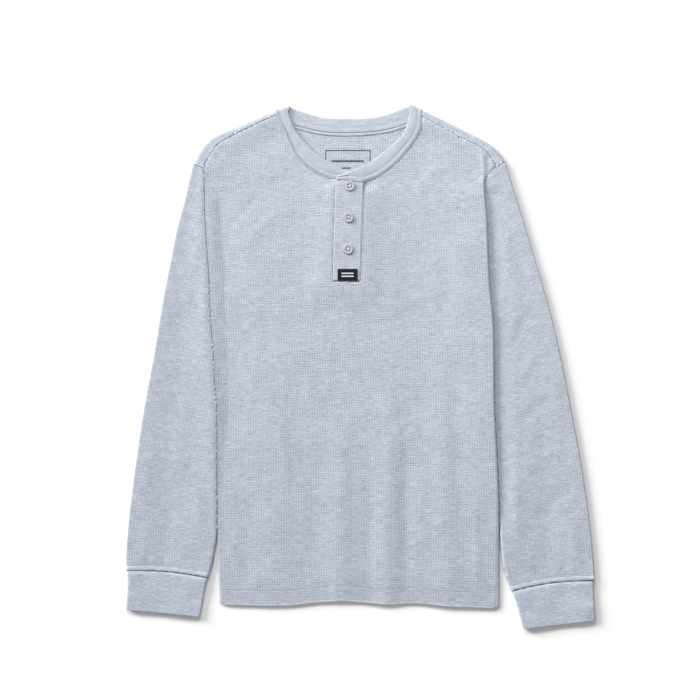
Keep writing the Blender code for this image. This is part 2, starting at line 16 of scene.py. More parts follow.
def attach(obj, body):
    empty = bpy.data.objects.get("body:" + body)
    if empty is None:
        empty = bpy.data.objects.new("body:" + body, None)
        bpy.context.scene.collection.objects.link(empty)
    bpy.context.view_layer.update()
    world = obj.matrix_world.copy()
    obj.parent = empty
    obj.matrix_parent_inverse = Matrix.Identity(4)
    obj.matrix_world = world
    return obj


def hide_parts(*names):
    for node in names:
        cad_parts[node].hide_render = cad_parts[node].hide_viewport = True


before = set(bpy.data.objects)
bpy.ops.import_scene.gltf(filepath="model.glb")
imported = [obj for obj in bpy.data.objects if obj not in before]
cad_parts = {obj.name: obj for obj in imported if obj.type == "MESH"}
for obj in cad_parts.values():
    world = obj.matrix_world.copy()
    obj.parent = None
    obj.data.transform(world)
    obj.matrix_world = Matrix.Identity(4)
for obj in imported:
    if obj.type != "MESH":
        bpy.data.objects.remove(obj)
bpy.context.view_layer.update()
print("nodes:", sorted(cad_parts))

# %% [markdown]
# ## Cutting lines
# These are the same lines that the solids were cut from: the side folds, the hem, the shoulders and the
# round of the neck. They are repeated here because the cloth has to land exactly where the solids are.

# %% lengths and walls
MM = 0.001
GAP = 0.3                       # between pieces that are sewn to each other
CLOTH = 1.5                     # wall of the waffle knit
RIB = 2.0                       # wall of the folded rib
FOLD = 2.8                      # outer radius of a folded edge
FRONT_TOP = 4.2                 # height of the front where it lies flat
SIDE_RIM = 1.8                  # height at which the front's sides end above the back
PLACKET_TOP = 6.3

# %% side folds, hem, shoulders and neck: x, y
SIDE_R = [(-158.1, -265.9), (-159.9, -200), (-160.4, -93), (-160.6, -48), (-163.3, -9), (-165.5, 29),
          (-168.1, 61), (-169.4, 100), (-172, 140), (-174, 172), (-174.4, 200), (-175.2, 223.2)]
SIDE_L = [(155.2, -270.4), (155.2, -205), (154.6, -149), (152.3, -93), (149.8, -50), (149.2, 0), (148, 54),
          (144.2, 92), (142.6, 123), (140.9, 170), (138.6, 198), (139.3, 211), (145.2, 218.6),
          (150.4, 225.2)]
HEM = [(-158.1, -265.9), (-126.3, -267), (-77, -266.7), (-49, -263.8), (-18.8, -262.3), (2.5, -263.9),
       (30.5, -265.9), (56.2, -264.8), (98.8, -268.1), (155.2, -270.4)]
FOOT = HEM[0][1]                # rows of the body's lattices are counted up from here
BACK_HEM_RISE = 0.6
# Shoulders, neck to armhole: fold x, fold y, seam x, seam y
SHOULDER_R = [(-96.7, 286.3, -95.9, 280.9), (-120.7, 276.2, -118.9, 270.6), (-142, 266.9, -139, 260.7),
              (-163.5, 257.6, -159.5, 249.3), (-170.7, 252.7, -164.8, 244.2), (-177.9, 244, -169.7, 236.1),
              (-183.5, 234.1, -173.3, 229.4), (-187, 226.9, -175.6, 223.8)]
SHOULDER_L = [(70.6, 286.2, 69.4, 279.6), (101, 271.3, 97, 264.3), (123.9, 259.8, 119.5, 252.8),
              (142.5, 249.8, 135.4, 244.2), (150.4, 243.4, 142.3, 238.5), (155.3, 238.3, 146.7, 232),
              (161.1, 229.8, 151, 225.8)]
# Neck, front then back: seam x, seam y, free x, free y
NECK_FRONT = [(-95.4, 280.5, -81.3, 284.7), (-89.8, 269.5, -77, 272.5), (-83.4, 256, -71.1, 261.7),
              (-73.8, 236.7, -61, 249.5), (-63.1, 225.2, -50.5, 238.9), (-49.4, 216, -39.5, 231.4),
              (-30.2, 209.8, -25, 222.8), (-17.7, 208.8, -14.6, 218.7), (-8.7, 207.4, -8, 220.8),
              (3.4, 206.5, -1, 223.6), (12.9, 209.3, 7.5, 227.4), (22.4, 214.5, 15.5, 232.2),
              (36.1, 224.7, 27, 241.4), (50.1, 239.2, 38.3, 250.7), (62.6, 256, 47.8, 261.5),
              (67.4, 266.1, 51.5, 270.8), (68.2, 278.6, 54.7, 284.5)]
NECK_BACK = [(61.5, 277.6, 50.4, 290.6), (51.3, 272.5, 44.5, 288.3), (40.5, 268.4, 35, 284.2),
             (28.6, 265.3, 24.9, 281), (4.7, 262.4, 4.7, 277.9), (-17.7, 261.6, -15.5, 277.6),
             (-44.6, 263.3, -42.3, 278.8), (-65.9, 268.1, -62, 284.2), (-75, 270.6, -69.2, 286.6),
             (-86.5, 276, -75.2, 288.9)]
NECK_FOLD_R = (-96.3, 286.5, -80, 292.7)
NECK_FOLD_L = (70.2, 286.4, 54.7, 293.8)
LAP_LOW_END = 3.5
LAP_HIGH_END = -28.0
LAP_CROSSING = -14.6
LAP_TIP = 0.3
BAND_LOW = [(-96, 5.6), (-75, 4.6), (-42, 4.4), (-30, 3.9), (4, 3.9)]
BAND_HIGH = [(-28, 6.2), (4, 6.2), (16, 4.9), (45, 4.5), (64, 4.7), (68.5, 5.6)]

# %% front beside the sleeves, and the soft ridges of the lower front
# Right: y, width of the strip, height at the side, at its crown and where it ends, and how it falls: 1 more
# and more steeply, 0 evenly, -1 less and less
STRIP_R = [(-270, 6, 2.6, 4.2, 4.2, 0), (-190, 6, 4.2, 4.4, 4.1, 0), (-130, 6.5, 4.6, 4.6, 3.9, -0.8),
           (-60, 11, 5.2, 5.2, 3.4, -0.3), (10, 15.5, 5.5, 5.5, 3.2, -0.4), (60, 16.5, 5.6, 5.6, 3.2, 0.3),
           (110, 17, 5.6, 5.6, 3.2, 0.7), (186, 17, 5.4, 5.4, 3.2, 0.6), (204, 12, 5.2, 5.2, 4, 0),
           (224, 5, 5.3, 5.4, 5.4, 0)]
STRIP_CROWN = 0.7               # how far in its crown is
# Left: y, width of the fall, height of the crest and of the side
ROLL_L = [(-272, 3.4, 4.6, 2.6), (-200, 2.8, 5.8, 2.6), (-170, 1.5, 6.6, 2.8), (-110, 1.2, 7.4, 3),
          (-60, 0.6, 8, 3), (192, 0.4, 8, 3), (206, 0.8, 6.6, 4), (214, 1.2, 5.9, 4.8), (234, 2, 5.6, 4.8)]
RISE_R = 45.0
RISE_L = 90.0
RISE_SHOULDER = 26.0
RIDGES = [(-96, -104, 70, 20, 0.8), (-22, -18, -20, 16, 1.3), (29, 33, 0, 14, 1.6), (96, 84, 50, 18, 1.1)]
RIDGE_FADE = 110.0

# %% sleeves and cuffs: x, y
SLEEVE_OUTER_R = [(-187.3, 226.1), (-189.1, 220.2), (-196.9, 186.6), (-205.9, 153), (-212.6, 119.4),
                  (-219.3, 85.8), (-230.5, 18.6), (-242.8, -48.6), (-252.9, -115.8), (-260.7, -183),
                  (-262.5, -216.6), (-262.2, -228.5)]
SLEEVE_OUTER_L = [(161.9, 228.8), (169.3, 203.4), (174.9, 186.6), (185, 153), (195.1, 119.4), (205.2, 85.8),
                  (222, 18.6), (235.4, -48.6), (247.7, -115.8), (256.7, -183), (260.1, -216.6),
                  (261.5, -239.7)]
SLEEVE_FOOT_R = [(-163.3, -208), (-166.2, -224), (-170.4, -236.6)]
SLEEVE_FOOT_L = [(156.9, -204.3), (159.6, -226), (168.6, -251.6)]
SLEEVE_LEAVES = -190.0          # y below which a sleeve is free of the body
UNDERARM = 80.0
SEAM_CLEAR = 0.15
SLEEVE_SAG = 1.0
SAG_WIDTH = 60.0
CUFF_EDGE_R = [(-180, -280.4), (-263, -272)]
CUFF_EDGE_L = [(182, -294), (263.2, -284.2)]
CUFF_FOLD = 3.0
CUFF_SAG = 0.8
# Placket: y, left x, right x
PLACKET = [(95.9, -31.4, -0.7), (143, -30.4, 0.9), (204, -28.4, 3.1)]
BUTTONS = {"button_top": (-12.2, 202.2), "button_middle": (-13.6, 166.9), "button_bottom": (-14.1, 131.4)}
LABEL_SIZE = (22.3, 13.2)
LABEL_CENTRE = (-14.8, 102.7)

# %% [markdown]
# ## The waffle
# A waffle knit is a grid of raised cords round small square pits. The real pitch is about 2.65 mm. It is
# drawn at 2.8 mm, because that lets one lattice of half-cells carry every pit of a panel as real geometry
# within its share of triangles. Corners where both lattice numbers are odd are the pits.

# %% waffle sizes
PITCH = 2.8
CELL = PITCH / 2
SNAP = 0.56 * CELL              # lattice points closer than this to a cutting line are moved onto it
RELIEF = 0.5                    # from the cords down to the floor of a pit

# %% [markdown]
# ## Curves
# Every line above is only a few points. These helpers run a smooth curve through them, move a curve
# sideways, and measure how far the points of a panel lie from it.

# %% curve helpers


def far_along(line):
    """Length along a line up to each of its points."""
    return np.concatenate([[0], np.cumsum(np.linalg.norm(np.diff(line, axis=0), axis=1))])


def read(rows, steps, at):
    """Every column of some rows that lie at steps, read at the places at."""
    return np.stack([np.interp(at, steps, column) for column in rows.T], axis=1)


def smooth(points, steps):
    """steps + 1 rows evenly spaced along the cubic whose slope at each given row is the mean slope there."""
    points = np.array(points, float)
    knots = far_along(points[:, :2])
    slopes = np.gradient(points, knots, axis=0)
    fine = np.linspace(0, knots[-1], 60 * len(points))
    cell = np.clip(np.searchsorted(knots, fine, side="right") - 1, 0, len(knots) - 2)
    span = (knots[cell + 1] - knots[cell])[:, None]
    f = (fine - knots[cell])[:, None] / span
    curve = ((1 + 2 * f) * (1 - f) ** 2 * points[cell] + f * (1 - f) ** 2 * span * slopes[cell]
             + f ** 2 * (3 - 2 * f) * points[cell + 1] + f ** 2 * (f - 1) * span * slopes[cell + 1])
    length = far_along(curve[:, :2])
    return read(curve, length, np.linspace(0, length[-1], steps + 1))


def unit(vectors):
    """Each vector divided by its length."""
    return vectors / np.maximum(np.linalg.norm(vectors, axis=-1, keepdims=True), 1e-12)


def left_of(curve):
    """Unit vectors to the left of a curve at its points: the tangent turned a quarter turn."""
    along = unit(np.gradient(curve[:, :2], axis=0))
    return np.stack([-along[:, 1], along[:, 0]], axis=1)


def nearest(plan, line):
    """Distance of each point from a polyline, and the closest point on it: each point is dropped square on
    every side of the line, kept between that side's ends, and the shortest drop wins."""
    flat = plan.reshape(-1, 2)
    start, side = line[:-1, :2], np.diff(line[:, :2], axis=0)
    squared = np.maximum(np.sum(side ** 2, axis=1), 1e-12)
    distance, foot = np.empty(len(flat)), np.empty_like(flat)
    for first in range(0, len(flat), 4000):
        part = flat[first:first + 4000, None] - start[None]
        along = np.clip(np.sum(part * side, axis=2) / squared, 0, 1)
        drop = part - along[..., None] * side
        size = np.sum(drop ** 2, axis=2)
        best = np.argmin(size, axis=1)
        rows = np.arange(len(best))
        distance[first:first + 4000] = np.sqrt(size[rows, best])
        foot[first:first + 4000] = start[best] + along[rows, best, None] * side[best]
    return distance.reshape(plan.shape[:-1]), foot.reshape(plan.shape)


def within(plan, outline):
    """True inside a closed outline: a ray towards +x crosses its sides an odd number of times."""
    flat = plan.reshape(-1, 2)
    a, b = outline[:, :2], np.roll(outline[:, :2], -1, axis=0)
    rise = np.where(np.abs(b[:, 1] - a[:, 1]) < 1e-9, 1e-9, b[:, 1] - a[:, 1])
    inside = np.empty(len(flat), bool)
    for first in range(0, len(flat), 4000):
        x, y = flat[first:first + 4000, 0, None], flat[first:first + 4000, 1, None]
        spans = (a[:, 1] > y) != (b[:, 1] > y)
        crossing = a[:, 0] + (y - a[:, 1]) / rise * (b[:, 0] - a[:, 0])
        inside[first:first + 4000] = np.sum(spans & (x < crossing), axis=1) % 2 == 1
    return inside.reshape(plan.shape[:-1])


def fade(distance, reach):
    """1 at no distance, 0 from reach on, smooth between: (1 - f)^2 (1 + 2f)."""
    f = np.clip(distance / reach, 0, 1)
    return (1 - f) ** 2 * (1 + 2 * f)


def settled(distance, offset=0.0):
    """Distances from a cutting line once the lattice is moved onto it: 0 where they were less than SNAP."""
    return np.where(distance < SNAP + offset, 0, distance)


def resting_height(points, line):
    """Height of whichever of the points is closest, seen from above, to each place of a line."""
    low, high = line[:, :2].min(axis=0) - 4, line[:, :2].max(axis=0) + 4
    around = points[((points[:, :2] > low) & (points[:, :2] < high)).all(axis=1)]
    return np.array([around[np.argmin(np.sum((around[:, :2] - place) ** 2, axis=1)), 2]
                     for place in line[:, :2]])


def table(rows, at, column):
    """A table's column read at the values of its first one, straight between the rows."""
    rows = np.array(rows)
    return np.interp(at, rows[:, 0], rows[:, column])


# %% [markdown]
# ## Creases
# Cloth laid by hand keeps a few soft creases. Each one here is a short line with a half width and a height,
# negative for a trough. It is a bell across the line and fades out at both ends, and the lengths, heights
# and spacing are uneven on purpose. A slow swell, a sum of long waves, keeps the flats from being flat.

# %% creases and swell


def creases(x, y, lines):
    """Sum over lines (x0, y0, x1, y1, half width, height) of height * exp(-(across / half width)^2), faded
    over the first and last 30 % of the line, which wavers a little to both sides."""
    total = np.zeros_like(x)
    for x0, y0, x1, y1, half_width, height in lines:
        length = np.hypot(x1 - x0, y1 - y0)
        along = ((x - x0) * (x1 - x0) + (y - y0) * (y1 - y0)) / length
        across = ((x - x0) * (y1 - y0) - (y - y0) * (x1 - x0)) / length
        across = across + 0.12 * half_width * np.sin(along / 9.0 + x0)
        ends = (1 - fade(along, 0.3 * length)) * (1 - fade(length - along, 0.3 * length))
        total += height * np.exp(-(across / half_width) ** 2) * ends
    return total


def swell(x, y, seed, height):
    """Sum of ten sine waves, 45 to 110 mm long, in seeded directions, times a third of a height."""
    draw = np.random.default_rng(seed)
    total = np.zeros_like(x)
    for length, heading, phase in zip(draw.uniform(45, 110, 10), draw.uniform(0, pi, 10),
                                      draw.uniform(0, 2 * pi, 10)):
        total += np.sin(2 * pi / length * (x * np.cos(heading) + y * np.sin(heading)) + phase)
    return height * total / 3


FRONT_CREASES = [(-150, 150, -112, 196, 6, -0.5), (-140, 120, -96, 176, 7, 0.5),
                 (118, 150, 84, 200, 6, -0.4), (126, 96, 96, 150, 8, 0.5), (-104, -40, -106, 90, 9, -0.45),
                 (-84, -170, -90, -40, 8, 0.45), (-52, -235, -50, -110, 9, -0.5),
                 (-8, -240, -12, -60, 7, -0.35), (8, -250, 12, -120, 7, -0.5),
                 (52, -262, 50, -90, 7, -0.75), (70, -230, 66, -80, 8, 0.4), (112, -200, 104, 30, 9, -0.6),
                 (130, -262, 128, -150, 7, 0.6), (-130, -260, -128, -170, 7, -0.4),
                 (92, 20, 98, 130, 8, -0.5), (-60, 40, -40, 150, 10, 0.35), (40, 30, 30, 170, 10, 0.4),
                 (-128, -90, -120, 20, 9, 0.4), (60, 180, 88, 232, 6, 0.4), (-110, 200, -84, 232, 5, 0.35),
                 (-20, -60, 60, -40, 9, 0.25), (-110, -210, -30, -222, 10, 0.3), (20, 60, 92, 84, 9, 0.25),
                 (-36, 90, -33, 198, 4, 0.3)]
BACK_CREASES = [(-120, -180, -110, -20, 9, 0.45), (-60, -240, -66, -80, 8, 0.4),
                (-10, -200, -2, 20, 10, 0.5), (56, -250, 48, -120, 8, 0.35), (100, -160, 108, 30, 9, 0.5),
                (-130, 60, -84, 150, 8, 0.4), (110, 70, 72, 160, 8, 0.4), (-30, 60, 20, 100, 9, 0.3)]
SLEEVE_CREASES_R = [(-182, 150, -196, 60, 6, 0.5), (-190, 110, -176, 40, 6, -0.4),
                    (-214, 60, -176, 10, 7, -0.5), (-226, 20, -182, -34, 7, 0.55),
                    (-232, -40, -186, -70, 7, -0.5), (-196, -20, -204, -130, 9, 0.5),
                    (-240, -90, -190, -120, 8, 0.4), (-246, -130, -200, -176, 8, -0.5),
                    (-180, -120, -186, -214, 7, 0.5), (-214, -150, -222, -226, 7, -0.45),
                    (-240, -170, -246, -226, 6, 0.45), (-198, -190, -200, -232, 5, 0.35)]
SLEEVE_CREASES_L = [(160, 150, 176, 70, 6, 0.5), (172, 110, 160, 30, 6, -0.4), (196, 70, 162, 14, 7, -0.5),
                    (208, 30, 170, -24, 7, 0.55), (222, -30, 172, -66, 7, -0.5),
                    (184, -10, 196, -120, 9, 0.5), (232, -84, 178, -118, 8, 0.4),
                    (240, -130, 186, -180, 8, -0.5), (170, -110, 176, -216, 7, 0.5),
                    (206, -150, 212, -236, 7, -0.45), (236, -170, 240, -236, 6, 0.45),
                    (190, -190, 192, -244, 5, 0.35)]

# %% [markdown]
# ## From a lattice to a sheet of cloth
# A panel starts as a lattice of half-cells in its own grain. Points within about half a cell of the
# cutting line are moved onto it, the rest outside are left out, so the edge is clean. The outer face takes
# the relief; the inner face is one cloth thickness below it, with only a few large faces, since nobody
# sees it; a rim of quads joins the two, so each piece is one closed solid sheet.

# %% mesh helpers


def normals_of(grid):
    """Unit normals of a grid of points: the cross product of its two slopes."""
    return unit(np.cross(np.gradient(grid, axis=1), np.gradient(grid, axis=0)))


def lattice_faces(keep):
    """Corner numbers of the quads whose corners are all kept, and of the triangles where three are."""
    number = np.arange(keep.size).reshape(keep.shape)
    corners = np.stack([number[:-1, :-1], number[:-1, 1:], number[1:, 1:], number[1:, :-1]], axis=2)
    corners = corners.reshape(-1, 4)
    kept = keep.ravel()[corners]
    three = kept.sum(axis=1) == 3
    return corners[kept.all(axis=1)], corners[three][kept[three]].reshape(-1, 3)


def edges_used_once(groups):
    """Directed edges that only one face uses."""
    edges = np.concatenate([np.stack([g, np.roll(g, -1, axis=1)], axis=2).reshape(-1, 2) for g in groups])
    _, where, uses = np.unique(np.sort(edges, axis=1), axis=0, return_index=True, return_counts=True)
    return edges[where[uses == 1]]


def tube_faces(number, inward=False):
    """Quads between the rings of a tube whose points are numbered (..., ring, corner)."""
    after = np.roll(number, -1, axis=-1)
    corners = [number[..., :-1, :], after[..., :-1, :], after[..., 1:, :], number[..., 1:, :]]
    if inward:
        corners = [corners[k] for k in (0, 3, 2, 1)]
    return np.stack(corners, axis=-1).reshape(-1, 4)


def lattice_weave(shape):
    """Place of each lattice point in the flat cloth."""
    return np.stack(np.meshgrid(np.arange(shape[1]) * CELL, np.arange(shape[0]) * CELL), axis=2)


def mesh_piece(name, points, groups, finish, uv=None, weave=None, pit=None, crisp_rim=False):
    """Object at the origin from points in millimetres and arrays of faces with the same number of corners.
    uv, weave and pit are given for each point. crisp_rim shades the last array of faces on its own."""
    used = np.unique(np.concatenate([g.ravel() for g in groups]))
    place = np.full(len(points), -1)
    place[used] = np.arange(len(used))
    groups = [place[g] for g in groups if len(g)]
    loops = np.concatenate([g.ravel() for g in groups])
    sizes = np.concatenate([np.full(len(g), g.shape[1]) for g in groups])
    mesh = bpy.data.meshes.new(name)
    mesh.vertices.add(len(used))
    mesh.vertices.foreach_set("co", (points[used] * MM).astype(np.float32).ravel())
    mesh.loops.add(len(loops))
    mesh.loops.foreach_set("vertex_index", loops.astype(np.int32))
    mesh.polygons.add(len(sizes))
    mesh.polygons.foreach_set("loop_start", (np.cumsum(sizes) - sizes).astype(np.int32))
    mesh.update(calc_edges=True)
    if uv is not None:
        layer = mesh.uv_layers.new(name="OFBake")
        layer.data.foreach_set("uv", uv[used][loops].astype(np.float32).ravel())
    if weave is not None:
        along = mesh.attributes.new("weave", "FLOAT_VECTOR", "POINT")
        flat = np.zeros((len(used), 3), np.float32)
        flat[:, :2] = weave[used] * MM
        along.data.foreach_set("vector", flat.ravel())
    if pit is not None:
        depth = mesh.attributes.new("pit", "FLOAT", "POINT")
        depth.data.foreach_set("value", pit[used].astype(np.float32))
    mesh.validate()
    mesh.materials.append(finish)
    mesh.shade_smooth()
    if crisp_rim:
        mesh.polygons.foreach_set("use_smooth", np.arange(len(sizes)) < len(sizes) - len(groups[-1]))
    made = bpy.data.objects.new(name, mesh)
    bpy.context.scene.collection.objects.link(made)
    return made


def panel(name, outer, inner, keep, finish, weave, pit, shown_inside=None, reverse=None, sewn=None,
          flip=False, coarse=8):
    """Closed sheet of cloth from lattices of its outer and inner faces. shown_inside marks where the inner
    face keeps the whole lattice, with reverse as its pits; sewn marks the edge points where two edges of
    the lattice are one seam."""
    sewn = np.zeros(keep.size, bool) if sewn is None else sewn.ravel()
    quads, threes = (g[~sewn[g].all(axis=1)] for g in lattice_faces(keep))
    rim = edges_used_once([g for g in (quads, threes) if len(g)])
    on_rim = np.zeros(keep.size, bool)
    on_rim[rim] = True
    grid_row, grid_column = np.divmod(np.arange(keep.size), keep.shape[1])
    sparse = (grid_row % coarse == 0) & (grid_column % coarse == 0)
    if shown_inside is not None:
        sparse |= shown_inside.ravel()
    rim_here = on_rim.reshape(keep.shape)
    near_rim = rim_here.copy()
    near_rim[1:] |= rim_here[:-1]
    near_rim[:-1] |= rim_here[1:]
    near_rim[:, 1:] |= rim_here[:, :-1]
    near_rim[:, :-1] |= rim_here[:, 1:]
    chosen = np.flatnonzero(on_rim | (sparse & keep.ravel() & ~near_rim.ravel()))
    place = np.full(keep.size, -1)
    place[chosen] = np.arange(len(chosen))
    flat = [Vector((float(c), float(r))) for c, r in zip(grid_column[chosen], grid_row[chosen])]
    made = delaunay_2d_cdt(flat, [tuple(e) for e in place[rim].tolist()], [], 1, 1e-7)
    inner_faces = chosen[np.array(made[2])][:, ::-1] + keep.size
    sides = rim[~sewn[rim].all(axis=1)]
    edge_faces = np.concatenate([sides[:, ::-1], sides + keep.size], axis=1)
    points = np.concatenate([outer.reshape(-1, 3), inner.reshape(-1, 3)])
    groups = [quads, threes, inner_faces, edge_faces]
    if sewn.any():
        _, first, same = np.unique(np.round(points, 4), axis=0, return_index=True, return_inverse=True)
        one = np.where(np.tile(sewn, 2), first[same.ravel()], np.arange(len(points)))
        groups = [one[g] for g in groups]
    if flip:
        groups = [g[:, ::-1] for g in groups]
    weave = weave.reshape(-1, 2)
    cloth_uv = weave - weave[keep.ravel()].min(axis=0)
    size = cloth_uv[keep.ravel()].max(axis=0)
    tall = max(size[1], 2.04 * size[0])
    uv = np.concatenate([cloth_uv / tall, cloth_uv / tall + [0.51, 0]])
    uv = np.clip(uv * 0.98 + 0.005, 0, 1)
    # the pit values set the painted shade of the colour; an inner face that does not show gets 0.4 all over
    both_pit = np.concatenate([pit.ravel(), np.full(keep.size, 0.4) if reverse is None else reverse.ravel()])
    return mesh_piece(name, points, groups, finish, uv, np.concatenate([weave] * 2), both_pit, crisp_rim=True)


def waffle_pit(rows, columns, seed):
    """1 where both lattice numbers are odd, 0.3 between two pits of a column, 0.12 between two of a row, 0
    where cords cross, each a little uneven."""
    r, c = np.meshgrid(np.arange(rows) % 2, np.arange(columns) % 2, indexing="ij")
    depth = np.where(r * c == 1, 1.0, np.where(c == 1, 0.3, np.where(r == 1, 0.12, 0.0)))
    uneven = 1 + 0.16 * np.random.default_rng(seed).standard_normal((rows, columns))
    return np.clip(depth * uneven, 0, 1.4)


# %% [markdown]
# ## Finishes
# The yarn is a cotton and polyester mélange: pale grey-lilac with short darker and lighter flecks that lie
# along the courses, because each fibre blend is spun before the cloth is knitted. It is quite matt, with a
# little fuzz that catches the light at a slant. The pits get a painted shade: their colour is darker than
# the cords', since light reaches them less.

# %% colour and node helpers


def linear(colour):
    """An sRGB hex colour as linear red, green, blue and alpha."""
    channels = [int(colour[k:k + 2], 16) / 255 for k in (0, 2, 4)]
    return (*(c / 12.92 if c <= 0.04045 else ((c + 0.055) / 1.055) ** 2.4 for c in channels), 1.0)


def add(tree, kind, settings=(), links=()):
    """One node: settings go to its properties or to the sockets of that name or number, links to sockets."""
    node = tree.nodes.new(kind)
    for name, value in dict(settings).items():
        if isinstance(name, int) or name in node.inputs:
            node.inputs[name].default_value = value
        else:
            setattr(node, name, value)
    for socket, source in dict(links).items():
        tree.links.new(source, node.inputs[socket])
    return node


def painted_pit_shade(tree, colour, share):
    """Painted shade in the pits: a colour times a factor that goes from 1 to share as the pit attribute
    goes from 0 to 1.
    """
    pit = add(tree, "ShaderNodeAttribute", {"attribute_name": "pit"}).outputs["Fac"]
    shade = add(tree, "ShaderNodeMapRange", {"To Min": 1.0, "To Max": share}, {"Value": pit})
    return add(tree, "ShaderNodeMix", {"data_type": "RGBA", "blend_type": "MULTIPLY", 0: 1.0},
               {6: colour, 7: shade.outputs[0]}).outputs[2]


def finished(made, tree, shader, colour, height, strength, distance):
    """The material once its colour and the bump of a height are joined to its shader."""
    relief = add(tree, "ShaderNodeBump", {"Strength": strength, "Distance": distance}, {"Height": height})
    tree.links.new(colour, shader.inputs["Base Color"])
    tree.links.new(relief.outputs[0], shader.inputs["Normal"])
    return made


def new_finish(name, settings):
    """Empty finish: its tree, its shader with constant settings, and the material."""
    made = bpy.data.materials.new(name)
    made.use_nodes = True
    tree = made.node_tree
    shader = tree.nodes["Principled BSDF"]
    for socket, value in settings.items():
        shader.inputs[socket].default_value = value
    return made, tree, shader


PATCH = (0.022, 0.007)          # length and height of the slow changes of colour, in metres
LOOP_DEPTH = 0.0004
GRAIN_DEPTH = 0.0002
CLOTH_SHADER = {"Roughness": 0.92, "Sheen Weight": 0.08, "Sheen Roughness": 0.45, "Metallic": 0.0,
                "Specular IOR Level": 0.25, "IOR": 1.5}

# %% mélange knit finishes


def melange(name, dark, middle, light, pit_shade_factor, fleck, loop, bump):
    """Knit of mélange yarn. Streaks, noise stretched along the courses to fleck = (length, height) in metres,
    and shorter flecks pick between dark, middle and light; slow noise shifts the whole a little; the pits get
    a painted shade, their colour darkened by the given share; loops of the given width in metres make the
    bump."""
    made, tree, shader = new_finish(name, CLOTH_SHADER)
    weave = add(tree, "ShaderNodeAttribute", {"attribute_name": "weave"}).outputs["Vector"]

    def noise(along, up, detail):
        """Noise with features of the given length and height in metres."""
        scaled = add(tree, "ShaderNodeMapping", {"Scale": (1 / along, 1 / up, 1)}, {"Vector": weave})
        return add(tree, "ShaderNodeTexNoise", {"Scale": 1.0, "Detail": detail, "Roughness": 0.55},
                   {"Vector": scaled.outputs[0]}).outputs[0]

    def weigh(value, share, rest):
        """value * share + rest."""
        summed = add(tree, "ShaderNodeMath", {"operation": "MULTIPLY_ADD", 1: share}, {0: value, 2: rest})
        return summed.outputs[0]

    streaks = weigh(noise(fleck[0] * 0.28, fleck[1] * 0.8, 1.0), 0.5, noise(*fleck, 2.0))
    mixed = weigh(noise(*PATCH, 2.0), 0.3, streaks)
    spread = add(tree, "ShaderNodeMapRange", {"From Min": 0.63, "From Max": 1.17}, {"Value": mixed})
    ramp = add(tree, "ShaderNodeValToRGB", {}, {"Fac": spread.outputs[0]})
    ramp.color_ramp.elements[0].color = linear(dark)
    ramp.color_ramp.elements[1].color = linear(light)
    ramp.color_ramp.elements.new(0.5).color = linear(middle)
    # painted shade: the colour is darker in the pits, where less light reaches
    colour = painted_pit_shade(tree, ramp.outputs[0], pit_shade_factor)
    return finished(made, tree, shader, colour, noise(loop, 1.4 * loop, 2.0), bump, LOOP_DEPTH)


waffle = melange("waffle_knit_melange", "9FA6B5", "B7BECA", "CED2DA", 0.66, (0.009, 0.001), 0.0009, 0.4)
band_rib = melange("band_rib_melange", "99A1AD", "AFB5C0", "C1C5CD", 0.9, (0.008, 0.0009), 0.0008, 0.4)
cuff_rib = melange("cuff_rib_melange", "9098A7", "ADB4C1", "C7CDD6", 0.9, (0.007, 0.001), 0.0009, 0.5)

# %% [markdown]
# ## Hard and small finishes
# Buttons are cast polyester, dyed a lilac grey: smooth, with a soft highlight. Sewing thread is spun
# polyester, paler than the cloth. The label is a dense black damask weave, and the mark inside the neck is
# a thin matt transfer.

# %% thread, button, label and print finishes


def fine_grain(name, colour, other, scale, settings, bump, hole_shade_factor=None):
    """Two near colours mixed by noise of the given scale per metre on Object coordinates, with a bump. Where
    a share for the wells is given, the pit attribute darkens the colour by that share: a painted shade in the
    button's holes."""
    made, tree, shader = new_finish(name, settings)
    place = add(tree, "ShaderNodeTexCoord").outputs["Object"]
    noise = add(tree, "ShaderNodeTexNoise", {"Scale": scale, "Detail": 2.0}, {"Vector": place})
    mix = add(tree, "ShaderNodeMix", {"data_type": "RGBA", 6: linear(colour), 7: linear(other)},
              {0: noise.outputs[0]})
    # painted shade in the wells, where the pit attribute marks them
    grained = mix.outputs[2] if hole_shade_factor is None else painted_pit_shade(tree, mix.outputs[2], hole_shade_factor)
    return finished(made, tree, shader, grained, noise.outputs[0], bump, GRAIN_DEPTH)


THREAD_SHADER = {"Roughness": 0.7, "Sheen Weight": 0.2, "Metallic": 0.0, "IOR": 1.5}
thread, seam_thread, button_thread = (
    fine_grain(name, colour, other, 2500, THREAD_SHADER, 0.3)
    for name, colour, other in (("spun_thread", "A3A9B8", "BABFCA"), ("dark_spun_thread", "858D9F", "9BA2B2"),
                                ("button_thread", "D9DCE4", "EDEEF3")))
# its holes get a painted shade: the colour darkens to a tenth in the wells
button_plastic = fine_grain("cast_polyester", "A6A4B0", "B4B2BE", 380, {
    "Roughness": 0.5, "Metallic": 0.0, "IOR": 1.54, "Specular IOR Level": 0.35}, 0.05, hole_shade_factor=0.1)
woven_black = fine_grain("damask_black", "121316", "1F2024", 1500, {
    "Roughness": 0.85, "Specular IOR Level": 0.2, "Metallic": 0.0, "IOR": 1.5}, 0.6)
woven_pale = fine_grain("damask_pale", "B9BCC2", "DADCE0", 1500, THREAD_SHADER, 0.5)
transfer_ink = fine_grain("transfer_ink", "4A4E5A", "5A5F6C", 900, {
    "Roughness": 0.6, "Metallic": 0.0, "IOR": 1.5}, 0.3)

# %% [markdown]
# ## Stitches
# Sewing is drawn thread by thread: each stitch is a short bead of six-sided rings that dips into the cloth
# at both ends. All the stitches of a seam are one mesh.

# %% stitch maker


